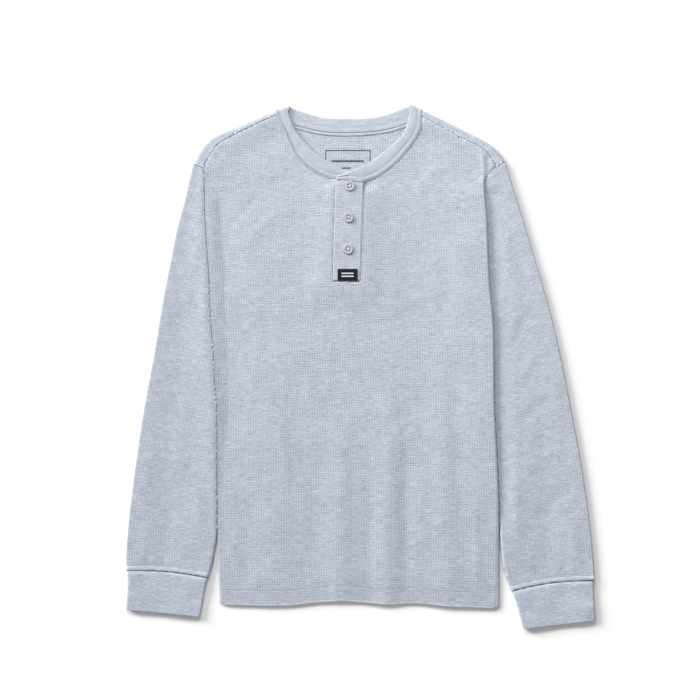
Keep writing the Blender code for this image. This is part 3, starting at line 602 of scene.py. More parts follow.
def stitches(name, start, end, lift, radius, finish):
    """One mesh of stitches. Along each one, t from 0 to 1, the centre runs straight from start to end and
    rises by lift * sin(pi t); the thread is radius * sin(pi t)^0.35 thick."""
    t = np.linspace(0.0, 1.0, 6)
    turn = np.linspace(0, 2 * pi, 7)[:-1]
    along = unit(end - start)
    side = unit(np.cross(along, [0, 0, 1.0]))
    up = np.cross(side, along)
    centre = start[:, None] + (end - start)[:, None] * t[None, :, None]
    centre[..., 2] += lift * np.sin(pi * t)
    thick = radius * np.maximum(np.sin(pi * np.clip(t, 0.04, 0.96)), 0.1) ** 0.35
    ring = (np.cos(turn)[:, None, None, None] * side[None, :, None]
            + np.sin(turn)[:, None, None, None] * up[None, :, None])
    points = centre[:, :, None] + thick[None, :, None, None] * np.moveaxis(ring, 0, 2)
    number = np.arange(points[..., 0].size).reshape(points.shape[:3])
    caps = np.concatenate([number[:, 0], number[:, -1, ::-1]])
    return mesh_piece(name, points.reshape(-1, 3), [tube_faces(number, inward=True), caps], finish)


def along_line(line, spacing, length):
    """Starts and ends of stitches of one length along a line of 3-D points, one every spacing."""
    steps = far_along(line)
    first = np.arange(0, steps[-1] - length, spacing)
    return read(line, steps, first), read(line, steps, first + length)


# %% [markdown]
# ## Front
# The front panel lies on the back. It rolls down at both sides to the side folds, higher and tighter on
# the wearer's left, rises to the shoulder seams, and has a turned hem 18 mm deep. Its grain runs up and
# down between the side folds, and the neck and shoulders are cut out of that grain.

# %% front panel
EDGE_STEP = 0.2                 # a first row and column this close to the edge keep it crisp
# Depth by which the front sinks and from how far: at its hem's edge, towards the hem, at the neck, at the
# shoulder seams and at the edge of the crest
SINKS = [(0.08, 1.3), (0.7, 34.0), (0.2, 1.6), (0.35, 3.0), (0.35, 0.9)]
SIDES_CALM = 20.0               # creases die out this close to the sides,
NECK_CALM = 14.0                # to the neck,
PLACKET_CALM = 20.0             # for the most part to the placket,
SHOULDER_CALM = 16.0            # and to the shoulder seams
HEM_DEPTH = 17.6
HEM_GROOVE = (0.3, 0.9)         # depth and half width of the groove of its stitches
HEM_BULGE = (0.12, 3.0)         # rise and reach of the cloth above that
HEM_REACH = 90.0                # up to here the courses follow the line of the hem
HEM_CORNER = 4.5                # radius of the hem's corners
BESIDE_PLACKET = 2.0            # how far the front swells up beside the placket
PLACKET_CLEAR = 0.12            # between it and the front
PLACKET_GROOVE = 0.1            # share of that by which it sinks again at the placket's edge
WAVE = 2.6                      # how far the courses wander up and down, in waves of this length
WAVE_LENGTH = 250.0
ARMHOLES_FROM = 190.0           # all armhole, shoulder and neck edges are above this
SHOULDERS_FROM = 150.0          # the distance from them matters from here up
FRONT_LATTICE_END = 290.0
RIM_OUT = 0.5                   # how far out the sides end below their rolls
FALL_STEPS = np.array([0.3, 0.55, 0.8, 1.0])
FALL_POWER = 1.6
ARMHOLE_CREASES = [(136.5, 246, 137.0, 198, 3.2, 0.9), (142.5, 244, 142.0, 204, 3.0, -0.6)]
side_r, side_l, hem_line = smooth(SIDE_R, 300), smooth(SIDE_L, 300), smooth(HEM, 300)
shoulder_r, shoulder_l = smooth(SHOULDER_R, 60), smooth(SHOULDER_L, 60)
neck_front = smooth(NECK_FRONT, 160)


def ridge_height(x, y):
    """Height of the long soft ridges of the lower front, fading towards their upper ends."""
    added = np.zeros_like(x)
    for x_hem, x_top, y_top, half_width, height in RIDGES:
        up = np.clip((y - FOOT) / (y_top - FOOT), 0, 1)
        centre = x_hem + (x_top - x_hem) * up
        added += height * np.exp(-((x - centre) / half_width) ** 2) * (1 - fade(y_top - y, RIDGE_FADE))
    return added


def far_from(plan, line, rows):
    """Distance from a line for the rows of a lattice given by a mask, and far away for the rest."""
    distance = np.full(plan.shape[:2], 1e3)
    distance[rows] = nearest(plan[rows], line)[0]
    return distance


def corner_inset(level):
    """How far in a side starts at a height above the hem: r - sqrt(r^2 - (r - h)^2), h up to r."""
    h = np.clip(level - level[0], 0, HEM_CORNER)
    return HEM_CORNER - np.sqrt(HEM_CORNER ** 2 - (HEM_CORNER - h) ** 2)


def side_edges(level):
    """x of the right and the left side at some heights, with the hem's rounded corners."""
    inset = corner_inset(level)
    return [np.interp(level, side[:, 1], side[:, 0]) + way * inset
            for side, way in ((side_r, 1), (side_l, -1))]


def hem_height(x):
    """y of the hem at some x."""
    return np.interp(x, hem_line[:, 0], hem_line[:, 1])


def above_hem(x, level):
    """y of a lattice: the level of each row, moved with the hem by a share that fades over HEM_REACH."""
    return level[:, None] + (hem_height(x) - FOOT) * fade(level - level[0], HEM_REACH)[:, None]


def moved_onto(line, plan):
    """Which points of a lattice are close enough to a cutting line to be moved onto it, and all of them
    after that."""
    distance, foot = nearest(plan, line)
    near = distance < SNAP
    return near, np.where(near[..., None], foot, plan)


def sleeve_inside(side, foot, toward_sleeve):
    """The line along which a sleeve meets the body's side and then hangs free, shoulder to cuff."""
    seam = smooth(side, 60)[::-1]
    seam = seam[seam[:, 1] > SLEEVE_LEAVES]
    seam[:, 0] += toward_sleeve * SEAM_CLEAR
    seam[0, 1] -= SEAM_CLEAR
    return smooth(np.concatenate([seam, foot]), 320)


def snapped_to_placket(plan):
    """Lattice points within half a cell of the placket's two sides or its foot, moved just outside."""
    x, y = plan[..., 0].copy(), plan[..., 1].copy()
    left, right = table(PLACKET, y, 1) - PLACKET_CLEAR, table(PLACKET, y, 2) + PLACKET_CLEAR
    foot = PLACKET[0][0] - PLACKET_CLEAR
    beside = y > foot - CELL / 2
    for line in (left, right):
        x = np.where(beside & (np.abs(x - line) < CELL / 2), line, x)
    under = (np.abs(y - foot) < CELL / 2) & (x > left - CELL / 2) & (x < right + CELL / 2)
    return np.stack([x, np.where(under, foot, y)], axis=2)


def beside_placket(x, y):
    """Distance outside the placket, beside it or below it, and less than 0 under it."""
    out_x = np.maximum(table(PLACKET, y, 1) - x, x - table(PLACKET, y, 2)) - PLACKET_CLEAR
    out_y = PLACKET[0][0] - PLACKET_CLEAR - y
    return np.where(out_y > 0, np.hypot(np.maximum(out_x, 0), out_y), out_x)


def strip_height(from_side, level):
    """Height of the front beside the right sleeve: up from its side to a crown, down from there as
    f (1 + late (f - 1)) to the end of the strip, then slowly back to the level of the front."""
    width, side, crown, end, late = (table(STRIP_R, level, k)[:, None] for k in (1, 2, 3, 4, 5))
    f = np.clip((from_side - STRIP_CROWN) / (width - STRIP_CROWN), 0, 1)
    down = f * (1 + late * (f - 1))
    strip = side + (crown - side) * (1 - fade(from_side, STRIP_CROWN)) - (crown - end) * down
    return np.where(from_side < width, strip, FRONT_TOP + (end - FRONT_TOP) * fade(from_side - width, RISE_R))


def front_surface(plan, from_r, from_l, level, crest_l):
    """Height of the front's outer face over the lattice, without relief."""
    x, y = plan[..., 0], plan[..., 1]
    upper = y[:, 0] > SHOULDERS_FROM
    seams = far_from(plan, shoulder_r[:, 2:], upper)
    seams = settled(np.minimum(seams, far_from(plan, shoulder_l[:, 2:], upper)), GAP / 2)
    neck = settled(far_from(plan, neck_front, upper), GAP / 2)
    beside = strip_height(from_r, level) - FRONT_TOP
    rises = np.maximum.reduce([beside, 0 * beside, (crest_l - FRONT_TOP)[:, None] * fade(from_l, RISE_L),
                               (2 * FOLD - FRONT_TOP) * fade(seams, RISE_SHOULDER)])
    rises += np.minimum(beside, 0) * (1 - fade(seams, RISE_SHOULDER)) + creases(x, y, ARMHOLE_CREASES)
    soft = creases(x, y, FRONT_CREASES) + swell(x, y, 11, 0.22)
    from_hem = y - hem_height(x)
    groove = -HEM_GROOVE[0] * np.exp(-((from_hem - HEM_DEPTH) / HEM_GROOVE[1]) ** 2)
    groove += HEM_BULGE[0] * fade(from_hem - HEM_DEPTH, HEM_BULGE[1])
    aside = beside_placket(x, y)
    shoulder = BESIDE_PLACKET * (1 - PLACKET_GROOVE * fade(aside, 1.5)) * fade(aside - 1.5, 34.0)
    shoulder *= (aside > -0.2) * (1 - fade(neck - 2, 12.0))
    calm = (1 - fade(from_r, SIDES_CALM)) * (1 - fade(from_l, SIDES_CALM)) * (1 - fade(neck, NECK_CALM))
    calm *= (1 - 0.8 * fade(aside, PLACKET_CALM)) * (1 - fade(seams, SHOULDER_CALM))
    height = FRONT_TOP + rises + ridge_height(x, y) + soft * calm + groove + shoulder
    for (depth, reach), distance in zip(SINKS, (from_hem, from_hem, neck, seams, from_l)):
        height -= depth * fade(distance, reach)
    return height, np.minimum(np.minimum(neck, seams), from_hem)


def make_front():
    """Front: lattice from its right side to the crest along its left, and the fall from that crest."""
    rows = int((FRONT_LATTICE_END - FOOT) / CELL)
    level = np.insert(FOOT + CELL * np.arange(rows), 1, FOOT + EDGE_STEP)
    edge_r, edge_l = side_edges(level)
    armhole = sleeve_inside(SIDE_L, SLEEVE_FOOT_L, 1)[::-1]
    beside = np.interp(level, armhole[:, 1], armhole[:, 0]) - SEAM_CLEAR
    edge_l = np.where(level > ARMHOLES_FROM, np.maximum(edge_l, beside), edge_l)
    width_l, crest_l, side_height = (table(ROLL_L, level, k) for k in (1, 2, 3))
    x_r, x_l = edge_r, edge_l - width_l
    columns = int(round((x_l - x_r).mean() / CELL))
    x = x_r[:, None] + (x_l - x_r)[:, None] * np.linspace(0, 1, columns + 1)
    x = np.insert(x, 1, x_r + EDGE_STEP, axis=1)
    y = above_hem(x, level)
    steady = (1 - fade(x - x_r[:, None], 50.0)) * (1 - fade(x_l[:, None] - x, 50.0))
    steady *= 1 - fade(y - FOOT, 60.0)
    y = y + WAVE * np.sin(2 * pi * (x + 0.35 * y) / WAVE_LENGTH) * steady
    plan = snapped_to_placket(np.stack([x, y], axis=2))
    x = plan[..., 0]
    height, from_cut = front_surface(plan, x - x_r[:, None], x_l[:, None] - x, level, crest_l)
    grid = np.concatenate([plan, height[..., None]], axis=2)
    side_height = side_height[:, None]
    fall = np.stack([x_l[:, None] + width_l[:, None] * FALL_STEPS,
                     np.repeat(grid[:, -1:, 1], len(FALL_STEPS), axis=1),
                     side_height + (grid[:, -1:, 2] - side_height) * (1 - FALL_STEPS ** FALL_POWER)], axis=2)
    left = np.stack([edge_r + RIM_OUT, grid[:, 0, 1], 0 * edge_r + SIDE_RIM], axis=1)[:, None]
    under = np.stack([edge_l - RIM_OUT, grid[:, -1, 1], 0 * edge_l + SIDE_RIM], axis=1)[:, None]
    right = np.concatenate([fall, under], axis=1)
    whole = np.concatenate([left, grid, right], axis=1)
    from_cut = np.concatenate([np.repeat(from_cut[:, :1], left.shape[1], 1), from_cut,
                               np.repeat(from_cut[:, -1:], right.shape[1], 1)], axis=1)

    seam_r, seam_l = shoulder_r[::-1, 2:], shoulder_l[:, 2:]
    line = np.concatenate([[[-190.0, seam_r[0, 1]]], seam_r, neck_front[1:-1, :2], seam_l,
                           [[165.0, seam_l[-1, 1]]]])
    line[1:-1] -= GAP / 2 * left_of(line)[1:-1]
    upper = whole[:, whole.shape[1] // 2, 1] > ARMHOLES_FROM
    keep = np.ones(whole.shape[:2], bool)
    cut = whole[upper][..., :2]
    near, moved = moved_onto(line, cut)
    keep[upper] = near | (cut[..., 1] < np.interp(cut[..., 0], line[:, 0], line[:, 1]))
    normal = normals_of(whole)
    whole[upper, :, :2] = moved
    pit = waffle_pit(*keep.shape, 21)
    pit[:2] = pit[:, :3] = pit[:, -6:] = 0
    calm = (1 - 0.6 * fade(from_cut, 3.0)) * (from_cut > 0)
    outer = whole - (RELIEF * pit * calm)[..., None] * normal
    inner = whole - CLOTH * normal
    made = panel("front_cloth", outer, inner, keep, waffle, lattice_weave(keep.shape), pit * calm)
    return made, whole[keep]


front, front_points = make_front()
print("front:", len(front.data.polygons), "faces")

# %% [markdown]
# ## Back
# The back panel lies flat on the table and wraps over both shoulder folds to the forward shoulder seams.
# A flat lattice is rolled round the fold: a point that lies a distance e beyond the foot of the fold goes
# round a half turn of radius 2.8 mm and then back inwards on top. The inner face shows through the neck,
# so there it keeps the whole lattice, with the waffle's other side.

# %% back panel
SHOWN_INSIDE = (-84, 66, 206, 285)          # left, right, bottom and top of what shows through the neck
BACK_LATTICE_END = 302.0
SPARE_COLUMNS = 18                          # of the lattice at each side, for the parts that are rolled
BACK_CUT_FROM = 200.0                       # y above which the back is cut out of its lattice,
BACK_SIDES_TO = 195.0                       # by a line that starts and ends at this y
PAST_FOLD = (30.0, 70.0)                    # how far the rolled region goes on past a fold's ends and away


def fold_normal(row):
    """Direction out of the shoulder fold where the neckband crosses it."""
    seam_x, seam_y, free_x, free_y = row
    out = unit(np.array([seam_y - free_y, free_x - seam_x]))
    return out * np.sign(out[1])


def neck_foot(row):
    """Seam and free edge at the foot of the neckband's turn over the shoulder."""
    return tuple(np.array(row) - FOLD * np.tile(fold_normal(row), 2))


BACK_NECK = [neck_foot(NECK_FOLD_L), *NECK_BACK, neck_foot(NECK_FOLD_R)]
neck_back = smooth(BACK_NECK, 120)


def shoulder_strip(shoulder):
    """Foot of a shoulder fold, and where the forward seam lies when the cloth is rolled out flat."""
    fold, seam = shoulder[:, :2], shoulder[:, 2:]
    out = left_of(fold)
    out *= -np.sign(np.sum(out * (seam - fold), axis=1, keepdims=True))
    foot = fold - FOLD * out
    return foot, foot + out * (pi * FOLD + np.sum((foot - seam) * out, axis=1, keepdims=True) - GAP / 2)


def rolled(flat, foot, away):
    """Flat points (x, y) as (x, y, z): those beyond a fold's foot go round it, angle e / r up to a half turn
    and then back on top; the others keep the height they have."""
    past, over = PAST_FOLD
    longer = np.concatenate([[foot[0] - past * unit(foot[1] - foot[0])], foot,
                             [foot[-1] + past * unit(foot[-1] - foot[-2])]])
    region = within(flat[..., :2], np.concatenate([longer, longer[::-1] + over * unit(np.array(away))]))
    rows, columns = np.nonzero(region)
    plan = flat[rows, columns][None, :, :2]
    beyond, closest = nearest(plan, longer)
    out = unit(plan - closest)
    turn = np.minimum(beyond / FOLD, pi)
    reach = FOLD * np.sin(turn) - np.maximum(beyond - pi * FOLD, 0)
    placed = flat.copy()
    placed[rows, columns, :2] = (closest + out * reach[..., None])[0]
    placed[rows, columns, 2] = (FOLD * (1 - np.cos(turn)))[0]
    return placed


def make_back():
    """Back: a flat lattice between the side folds, wider above the armholes, cut and rolled there."""
    spare = SPARE_COLUMNS
    level = FOOT + BACK_HEM_RISE + CELL * np.arange(int((BACK_LATTICE_END - FOOT) / CELL))
    edge_r, edge_l = side_edges(level)
    columns = int(round((edge_l - edge_r).mean() / CELL))
    x = edge_r[:, None] + (edge_l - edge_r)[:, None] * np.linspace(0, 1, columns + 1)
    beside = CELL * np.arange(1, spare + 1)
    x = np.concatenate([x[:, :1] - beside[::-1], x, x[:, -1:] + beside], axis=1)
    plan = np.stack([x, above_hem(x, level)], axis=2)
    keep = np.zeros(x.shape, bool)
    keep[:, spare:-spare] = True

    foot_r, seam_r = shoulder_strip(shoulder_r)
    foot_l, seam_l = shoulder_strip(shoulder_l)
    neck = neck_back[::-1, :2] - GAP / 2 * left_of(neck_back[::-1])
    neck[0], neck[-1] = foot_r[0], foot_l[0]
    line = np.concatenate([side_r[side_r[:, 1] > BACK_SIDES_TO], foot_r[-1:], seam_r[::-1], neck, seam_l,
                           foot_l[-1:], side_l[side_l[:, 1] > BACK_SIDES_TO][::-1]])
    upper = level > BACK_CUT_FROM
    near, moved = moved_onto(line, plan[upper])
    keep[upper] = near | within(plan[upper], line)

    x, y = plan[..., 0], plan[..., 1]
    edge = far_from(plan, line, upper)
    from_hem = y - hem_height(x) - BACK_HEM_RISE
    lift = np.maximum(creases(x, y, BACK_CREASES) + swell(x, y, 12, 0.12), 0)
    lift *= (1 - fade(x - edge_r[:, None] - 20, 24)) * (1 - fade(edge_l[:, None] - x, 16))
    lift *= (1 - fade(edge, 34)) * (1 - fade(from_hem, 20))
    whole = np.concatenate([plan, lift[..., None]], axis=2)
    snapped = whole.copy()
    snapped[upper, :, :2] = moved
    for strip_foot, away in ((foot_r, (-0.5, 0.87)), (foot_l, (0.5, 0.87))):
        whole, snapped = rolled(whole, strip_foot, away), rolled(snapped, strip_foot, away)
    normal, whole = -normals_of(whole), snapped
    pit = waffle_pit(*keep.shape, 22)
    calm = (1 - 0.6 * fade(np.minimum(edge, from_hem), 3.0)) * (edge > SNAP)
    left, right, low, high = SHOWN_INSIDE
    shown = upper[:, None] & (x > left) & (x < right) & (y > low) & (y < high)
    reverse = np.roll(pit, (1, 1), axis=(0, 1)) * calm
    outer = whole - (RELIEF * pit * calm)[..., None] * normal
    inner = whole - (CLOTH - np.where(shown, RELIEF * reverse, 0))[..., None] * normal
    made = panel("back_cloth", outer, inner, keep, waffle, lattice_weave(keep.shape), pit * calm,
                 shown_inside=shown, reverse=reverse, flip=True)
    return made, whole[keep & (whole[..., 2] < FOLD)]


back, back_points = make_back()
print("back:", len(back.data.polygons), "faces")

# %% [markdown]
# ## Sleeves
# Each sleeve is a tube pressed flat. Its grain follows the outer fold, so the lattice starts there: half of
# it goes over the top and half underneath, and the body's side cuts it off on the inside. Below the
# underarm the top and the underside are sewn together along that line; above it they go into the armhole.
# The last 6 mm before the cuff is a raised coverstitched band.

# %% sleeves
SEAM_BAND = 5.6                 # width of a raised coverstitched band
BAND_RISE = 0.5
END_BOW_R = 2.6                 # how far the cuff's seam bows up the sleeve
END_BOW_L = 3.4
SEWN_GAP = 0.01                 # half the slit between top and underside along the underarm seam
# Beside the body: y, how much lower the top is at the inside line, how far that reaches, how level it starts,
# from 0 to 1, the height at which top and underside meet, and how high the sleeve swells before it drops
DROP_R = [(-190, 0.9, 5, 0, 4.6, 0.2), (-130, 1, 5, 0, 4.7, 0.3), (-60, 1.1, 7, 0, 5, 0.8),
          (60, 1.1, 7.5, 0, 5.3, 1.1), (190, 1.1, 6.5, 0, 5.1, 0.9), (212, 0.7, 5, 0, 4.8, 0.3),
          (226, 0.5, 4, 0, 4.9, 0)]
DROP_L = [(-190, 1.8, 22, 1, 3.3, 0), (-60, 2.5, 25, 1, 3.1, 0), (192, 2.5, 24, 1, 3.1, 0),
          (208, 1, 8, 0, 4.3, 0), (226, 0.6, 4, 0, 4.9, 0)]
SWELL_REACH = 26.0
FOLD_REACH = 0.9                # how far in the outer fold rounds over
SLEEVE_LENGTH = 470.0           # of the lattice along the outer fold, and its width from there
SLEEVE_FLAT = 106.0
SLEEVE_MORE = (5, 16)           # rows that the lattice has beyond both ends of the fold
OUTLINE_OUT = 6.0               # how far outside the fold the sleeve's outline runs
LEAVE_FADE = 30.0               # the form beside the body ends over this length
END_ROUND = 0.05                # share by which the end of a sleeve is lower


def band_across(distance, width, rise):
    """Raised band with a groove along its far side: the square root of a half sine over its width."""
    inside = np.clip(distance / width, 0, 1)
    groove = 0.5 * np.exp(-((distance - width - 0.7) / 0.8) ** 2)
    return rise * np.sin(pi * inside) ** 0.5 * (inside < 1) - groove


def end_frame(start, end):
    """Unit vectors along the end of a sleeve and up the sleeve from it."""
    way = unit(end - start)
    return way, np.array([-way[1], way[0]]) * np.sign(way[0])


def bowed(start, end, rise, steps=24):
    """Points from start to end, bowed up the sleeve by rise * sin(pi t)."""
    t = np.linspace(0, 1, steps + 1)[:, None]
    up = end_frame(start, end)[1]
    return start + (end - start) * t + rise * np.sin(pi * t) * up


def make_sleeve(name, outer_points, side, foot, toward_sleeve, lines, drops, bow, seed):
    """Sleeve: over the top from the inside line to the outer fold, round it, and back underneath."""
    inside = sleeve_inside(side, foot, toward_sleeve)
    fold_line = smooth(outer_points, int(SLEEVE_LENGTH / CELL))[:, :2]
    first, last = unit(fold_line[0] - fold_line[1]), unit(fold_line[-1] - fold_line[-2])
    before, after = (CELL * np.arange(1, rows + 1)[:, None] for rows in SLEEVE_MORE)
    outer_line = np.concatenate([fold_line[0] + before[::-1] * first, fold_line,
                                 fold_line[-1] + after * last])
    inward = -toward_sleeve * left_of(outer_line) * np.sign(left_of(outer_line)[:, :1])
    flat_columns = int(SLEEVE_FLAT / CELL)
    turn = np.linspace(pi / 2, -pi / 2, 7)
    flat = FOLD_REACH + CELL * np.arange(1, flat_columns + 1)
    across = np.concatenate([flat[::-1], FOLD_REACH * (1 - np.cos(turn)), flat])
    height = np.concatenate([np.ones(flat_columns), np.sin(turn), -np.ones(flat_columns)])
    plan = outer_line[:, None, :2] + inward[:, None] * across[None, :, None]
    end_line = bowed(inside[-1, :2], fold_line[-1], bow)
    top_line = np.array([fold_line[0], inside[0, :2]])
    beside = OUTLINE_OUT * inward[len(before):len(before) + len(fold_line)][::-1]
    outline = np.concatenate([inside[:, :2], end_line[1:], fold_line[::-1] - beside, fold_line[:1]])
    to_inside, foot_inside = nearest(plan, inside)
    to_end, foot_end = nearest(plan, end_line)
    to_top, foot_top = nearest(plan, top_line)
    ends = np.minimum(to_end, to_top)
    closest = np.where((to_inside <= ends)[..., None], foot_inside,
                       np.where((to_end <= to_top)[..., None], foot_end, foot_top))
    distance = np.minimum(to_inside, ends)
    held = within(plan, outline)
    near = distance < SNAP
    keep = near | held

    to_end = settled(to_end)
    signed_in = np.where(held, to_inside, 0)
    x, y = plan[..., 0], plan[..., 1]
    width = np.maximum(signed_in + across, 1)
    sag = SLEEVE_SAG * np.minimum(1, width / SAG_WIDTH) * np.sin(pi * across / width) ** 2
    calm_fold = (1 - fade(across, 16.0))[None] * (1 - fade(to_inside, 14.0)) * (1 - fade(to_end, 16.0))
    soft = (creases(x, y, lines) + swell(x, y, seed, 0.3)) * calm_fold
    band = band_across(to_end, SEAM_BAND, BAND_RISE)
    fold_in = np.clip(signed_in / FOLD, 0, 1)
    round_in = np.sqrt(np.maximum(1 - (1 - fold_in) ** 2, 0))
    beside_body = 1 - fade(y - SLEEVE_LEAVES, LEAVE_FADE)
    f = np.clip(signed_in / table(drops, y, 2), 0, 1)
    dropped = table(drops, y, 1) * (1 - f) ** 2 * (1 + 2 * f * table(drops, y, 3))
    dropped = (dropped - table(drops, y, 5) * fade(signed_in, SWELL_REACH)) * beside_body
    round_in = np.where(height > 0, round_in + (1 - round_in) * beside_body, round_in)
    end_round = 1 - END_ROUND * fade(to_end, 1.6)
    top = (FOLD + soft - sag - dropped + band * (height > 0)) * end_round
    under = FOLD - np.maximum(-soft, 0) * 0.6 * (height < 0)
    z = FOLD + round_in * height * np.where(height > 0, top, under)
    whole = np.concatenate([plan, z[..., None]], axis=2)
    normal = normals_of(whole)
    normal *= np.sign(normal[:, :1, 2:])

    inner_edge = near & (to_inside <= ends)
    parted = np.where(y < UNDERARM, SEWN_GAP, GAP / 2)
    whole[..., :2] = np.where(near[..., None], closest, plan)
    joined = FOLD + (table(drops, y, 4) - FOLD) * beside_body
    whole[..., 2] = np.where(inner_edge, joined + height * parted, whole[..., 2])
    pit = waffle_pit(*keep.shape, seed)
    calm = (1 - 0.6 * fade(to_inside, 3.0)) * (1 - 0.75 * fade(to_end - SEAM_BAND, 1.5))
    pit[inner_edge] = 0
    outer = whole - (RELIEF * pit * calm)[..., None] * normal
    inner = whole - CLOTH * normal
    inner[inner_edge] = (whole - CLOTH * np.pad(inward, ((0, 0), (0, 1)))[:, None])[inner_edge]
    made = panel(name, outer, inner, keep, waffle, lattice_weave(keep.shape) * [1, -1], pit * calm,
                 flip=toward_sleeve > 0)
    return made, whole[keep & (height > 0)], end_line


sleeve_r, points_r, end_r = make_sleeve("sleeve_r_cloth", SLEEVE_OUTER_R, SIDE_R, SLEEVE_FOOT_R, -1,
                                        SLEEVE_CREASES_R, DROP_R, END_BOW_R, 31)
sleeve_l, points_l, end_l = make_sleeve("sleeve_l_cloth", SLEEVE_OUTER_L, SIDE_L, SLEEVE_FOOT_L, 1,
                                        SLEEVE_CREASES_L, DROP_L, END_BOW_L, 32)
print("sleeves:", len(sleeve_r.data.polygons), len(sleeve_l.data.polygons), "faces")

# %% [markdown]
# ## Cuffs
# A cuff is a folded tube of rib, narrower than the sleeve it is gathered to, so it starts a little inside
# the sleeve's edges. Its section is a flat stadium carried from the seam to the free edge, and the last
# rows turn in over the fold of the rib.

# %% cuffs
CUFF_STEP = 1.6
CUFF_CLEAR = 0.12               # between the sleeve's end and the cuff
CUFF_CORNER = 3.0               # radius of the corners at the free edge
CUFF_DEPTH = 45.0
CUFF_IN = 1.1                   # how far its folds start inside the sleeve's
CUFF_BOW = 0.7                  # how far the outer fold bows in, the inner one less


def stadium(width, radius, sag, columns):
    """Distance across and height of a flattened tube: half ellipses at both folds, half as wide as high,
    joined by flats; the top sinks by sag * sin^2. It starts and ends at the inner fold."""
    first, last = np.linspace(pi, pi / 2, 6)[:-1], np.linspace(-pi / 2, -pi, 6)[1:]
    over = np.linspace(pi / 2, -pi / 2, 9)[1:-1]
    flat = np.linspace(0, 1, columns + 1)
    reach = 0.5 * radius
    level = reach + (width - 2 * reach) * flat
    distance = np.concatenate([reach * (1 + np.cos(first)), level, width - reach + reach * np.cos(over),
                               level[::-1], reach * (1 + np.cos(last))])
    height = np.concatenate([radius + radius * np.sin(first), 2 * radius - sag * np.sin(pi * flat) ** 2,
                             radius + radius * np.sin(over), 0 * flat, radius + radius * np.sin(last)])
    return distance, height


def make_cuff(name, start, edge, rise, seed):
    """Cuff: stadiums from the sleeve's end, which bows by rise, to the free edge, which rounds over with the
    rib's own radius."""
    start, edge = np.array(start)[:, :2], np.array(edge)
    down = unit(edge - start)
    start = start + down * CUFF_CLEAR
    middle = unit(start[1] - start[0])
    start = start + np.array([middle, -middle]) * CUFF_IN
    rows = int(np.linalg.norm(edge - start, axis=1).mean() / CUFF_STEP)
    t = np.linspace(0, 1, rows + 1)
    columns = int(np.linalg.norm(start[1] - start[0]) / CUFF_STEP)
    lip = RIB / 2
    tuck = np.linspace(0, pi / 2, 5)[1:]
    share = lip / CUFF_DEPTH
    along = np.concatenate([t * (1 - share), 1 - share + share * np.sin(tuck)])
    inset = np.concatenate([0.6 * fade(t * CUFF_DEPTH, 3.0), lip * (1 - np.cos(tuck))])
    bow = CUFF_BOW * np.sin(pi * np.clip(along, 0, 1))
    inner_side = start[0] + (edge[0] - start[0]) * along[:, None]
    outer_side = start[1] + (edge[1] - start[1]) * along[:, None]
    cross = unit(outer_side - inner_side)
    left = np.clip(CUFF_CORNER - (1 - along) * CUFF_DEPTH, 0, CUFF_CORNER)
    rounded = CUFF_CORNER - np.sqrt(CUFF_CORNER ** 2 - left ** 2)
    inner_side = inner_side + cross * (bow * 0.4 + rounded)[:, None]
    outer_side = outer_side - cross * (bow + rounded)[:, None]
    grid = []
    for a, b, less, share in zip(inner_side, outer_side, inset, along):
        width = np.linalg.norm(b - a)
        across, height = stadium(width - 2 * less, CUFF_FOLD - less, CUFF_SAG, columns)
        way = unit(b - a)
        place = a + way * (across + less)[:, None]
        arch = bowed(a, b, rise * (1 - min(share, 1)) ** 1.5, 60) - a
        reached = arch @ way
        place += read(arch - reached[:, None] * way, reached, across + less)
        grid.append(np.concatenate([place, height[:, None] + less], axis=1))
    grid = np.array(grid)
    body = len(t)
    x, y = grid[..., 0], grid[..., 1]
    upper = np.clip((grid[..., 2] - CUFF_FOLD) / CUFF_FOLD, 0, 1)
    gathered = 0.1 * fade(along * CUFF_DEPTH, 6.0)[:, None]
    grid[..., 2] += upper * (swell(2.2 * x, 2.2 * y, seed, 0.35) + gathered)
    normal = normals_of(grid)
    normal = normal * np.sign(normal[body // 2, columns // 2 + 6, 2])
    normal[:, 0] = normal[:, -1] = unit(normal[:, 0] + normal[:, -1])
    weave = np.stack(np.meshgrid(far_along(grid[body // 2]), -along * CUFF_DEPTH), axis=2)
    inner = grid - RIB * normal
    inner[body:] = inner[body - 1]
    keep = np.ones(grid.shape[:2], bool)
    sewn = np.zeros(keep.shape, bool)
    sewn[:, 0] = sewn[:, -1] = True
    facing = np.cross(grid[1, 8] - grid[0, 8], grid[0, 9] - grid[0, 8])
    flip = np.sum(facing * normal[0, 8]) > 0
    return panel(name, grid, inner, keep, cuff_rib, weave, np.zeros(keep.shape), sewn=sewn, flip=flip,
                 coarse=4)


cuff_r = make_cuff("cuff_r_rib", [SLEEVE_FOOT_R[-1], SLEEVE_OUTER_R[-1]], CUFF_EDGE_R, END_BOW_R, 41)
cuff_l = make_cuff("cuff_l_rib", [SLEEVE_FOOT_L[-1], SLEEVE_OUTER_L[-1]], CUFF_EDGE_L, END_BOW_L, 42)
print("cuffs:", len(cuff_r.data.polygons), len(cuff_l.data.polygons), "faces")

# %% [markdown]
# ## Neckband
# The neckband is folded rib, sewn all round the neck and covered by a raised coverstitched ridge along its
# seam. It goes over both shoulder folds, and at the front its ends lap over each other above the placket.
# It is one cross-section carried round some 330 stations.

# %% neckband
NECK_RIDGE = 4.8                # width of the raised coverstitched ridge along the seam
NECK_RIDGE_RISE = 0.35
RIDGE_GAP = 0.9                 # between the ridge and the plain band
LIP = 0.7                       # how far the band's edge laps over the front
LIP_THICKNESS = 0.18
LIP_CLEAR = 0.06


def ridge_width(width):
    """Width of the ridge on a band of some width."""
    return np.minimum(NECK_RIDGE, 0.45 * width)


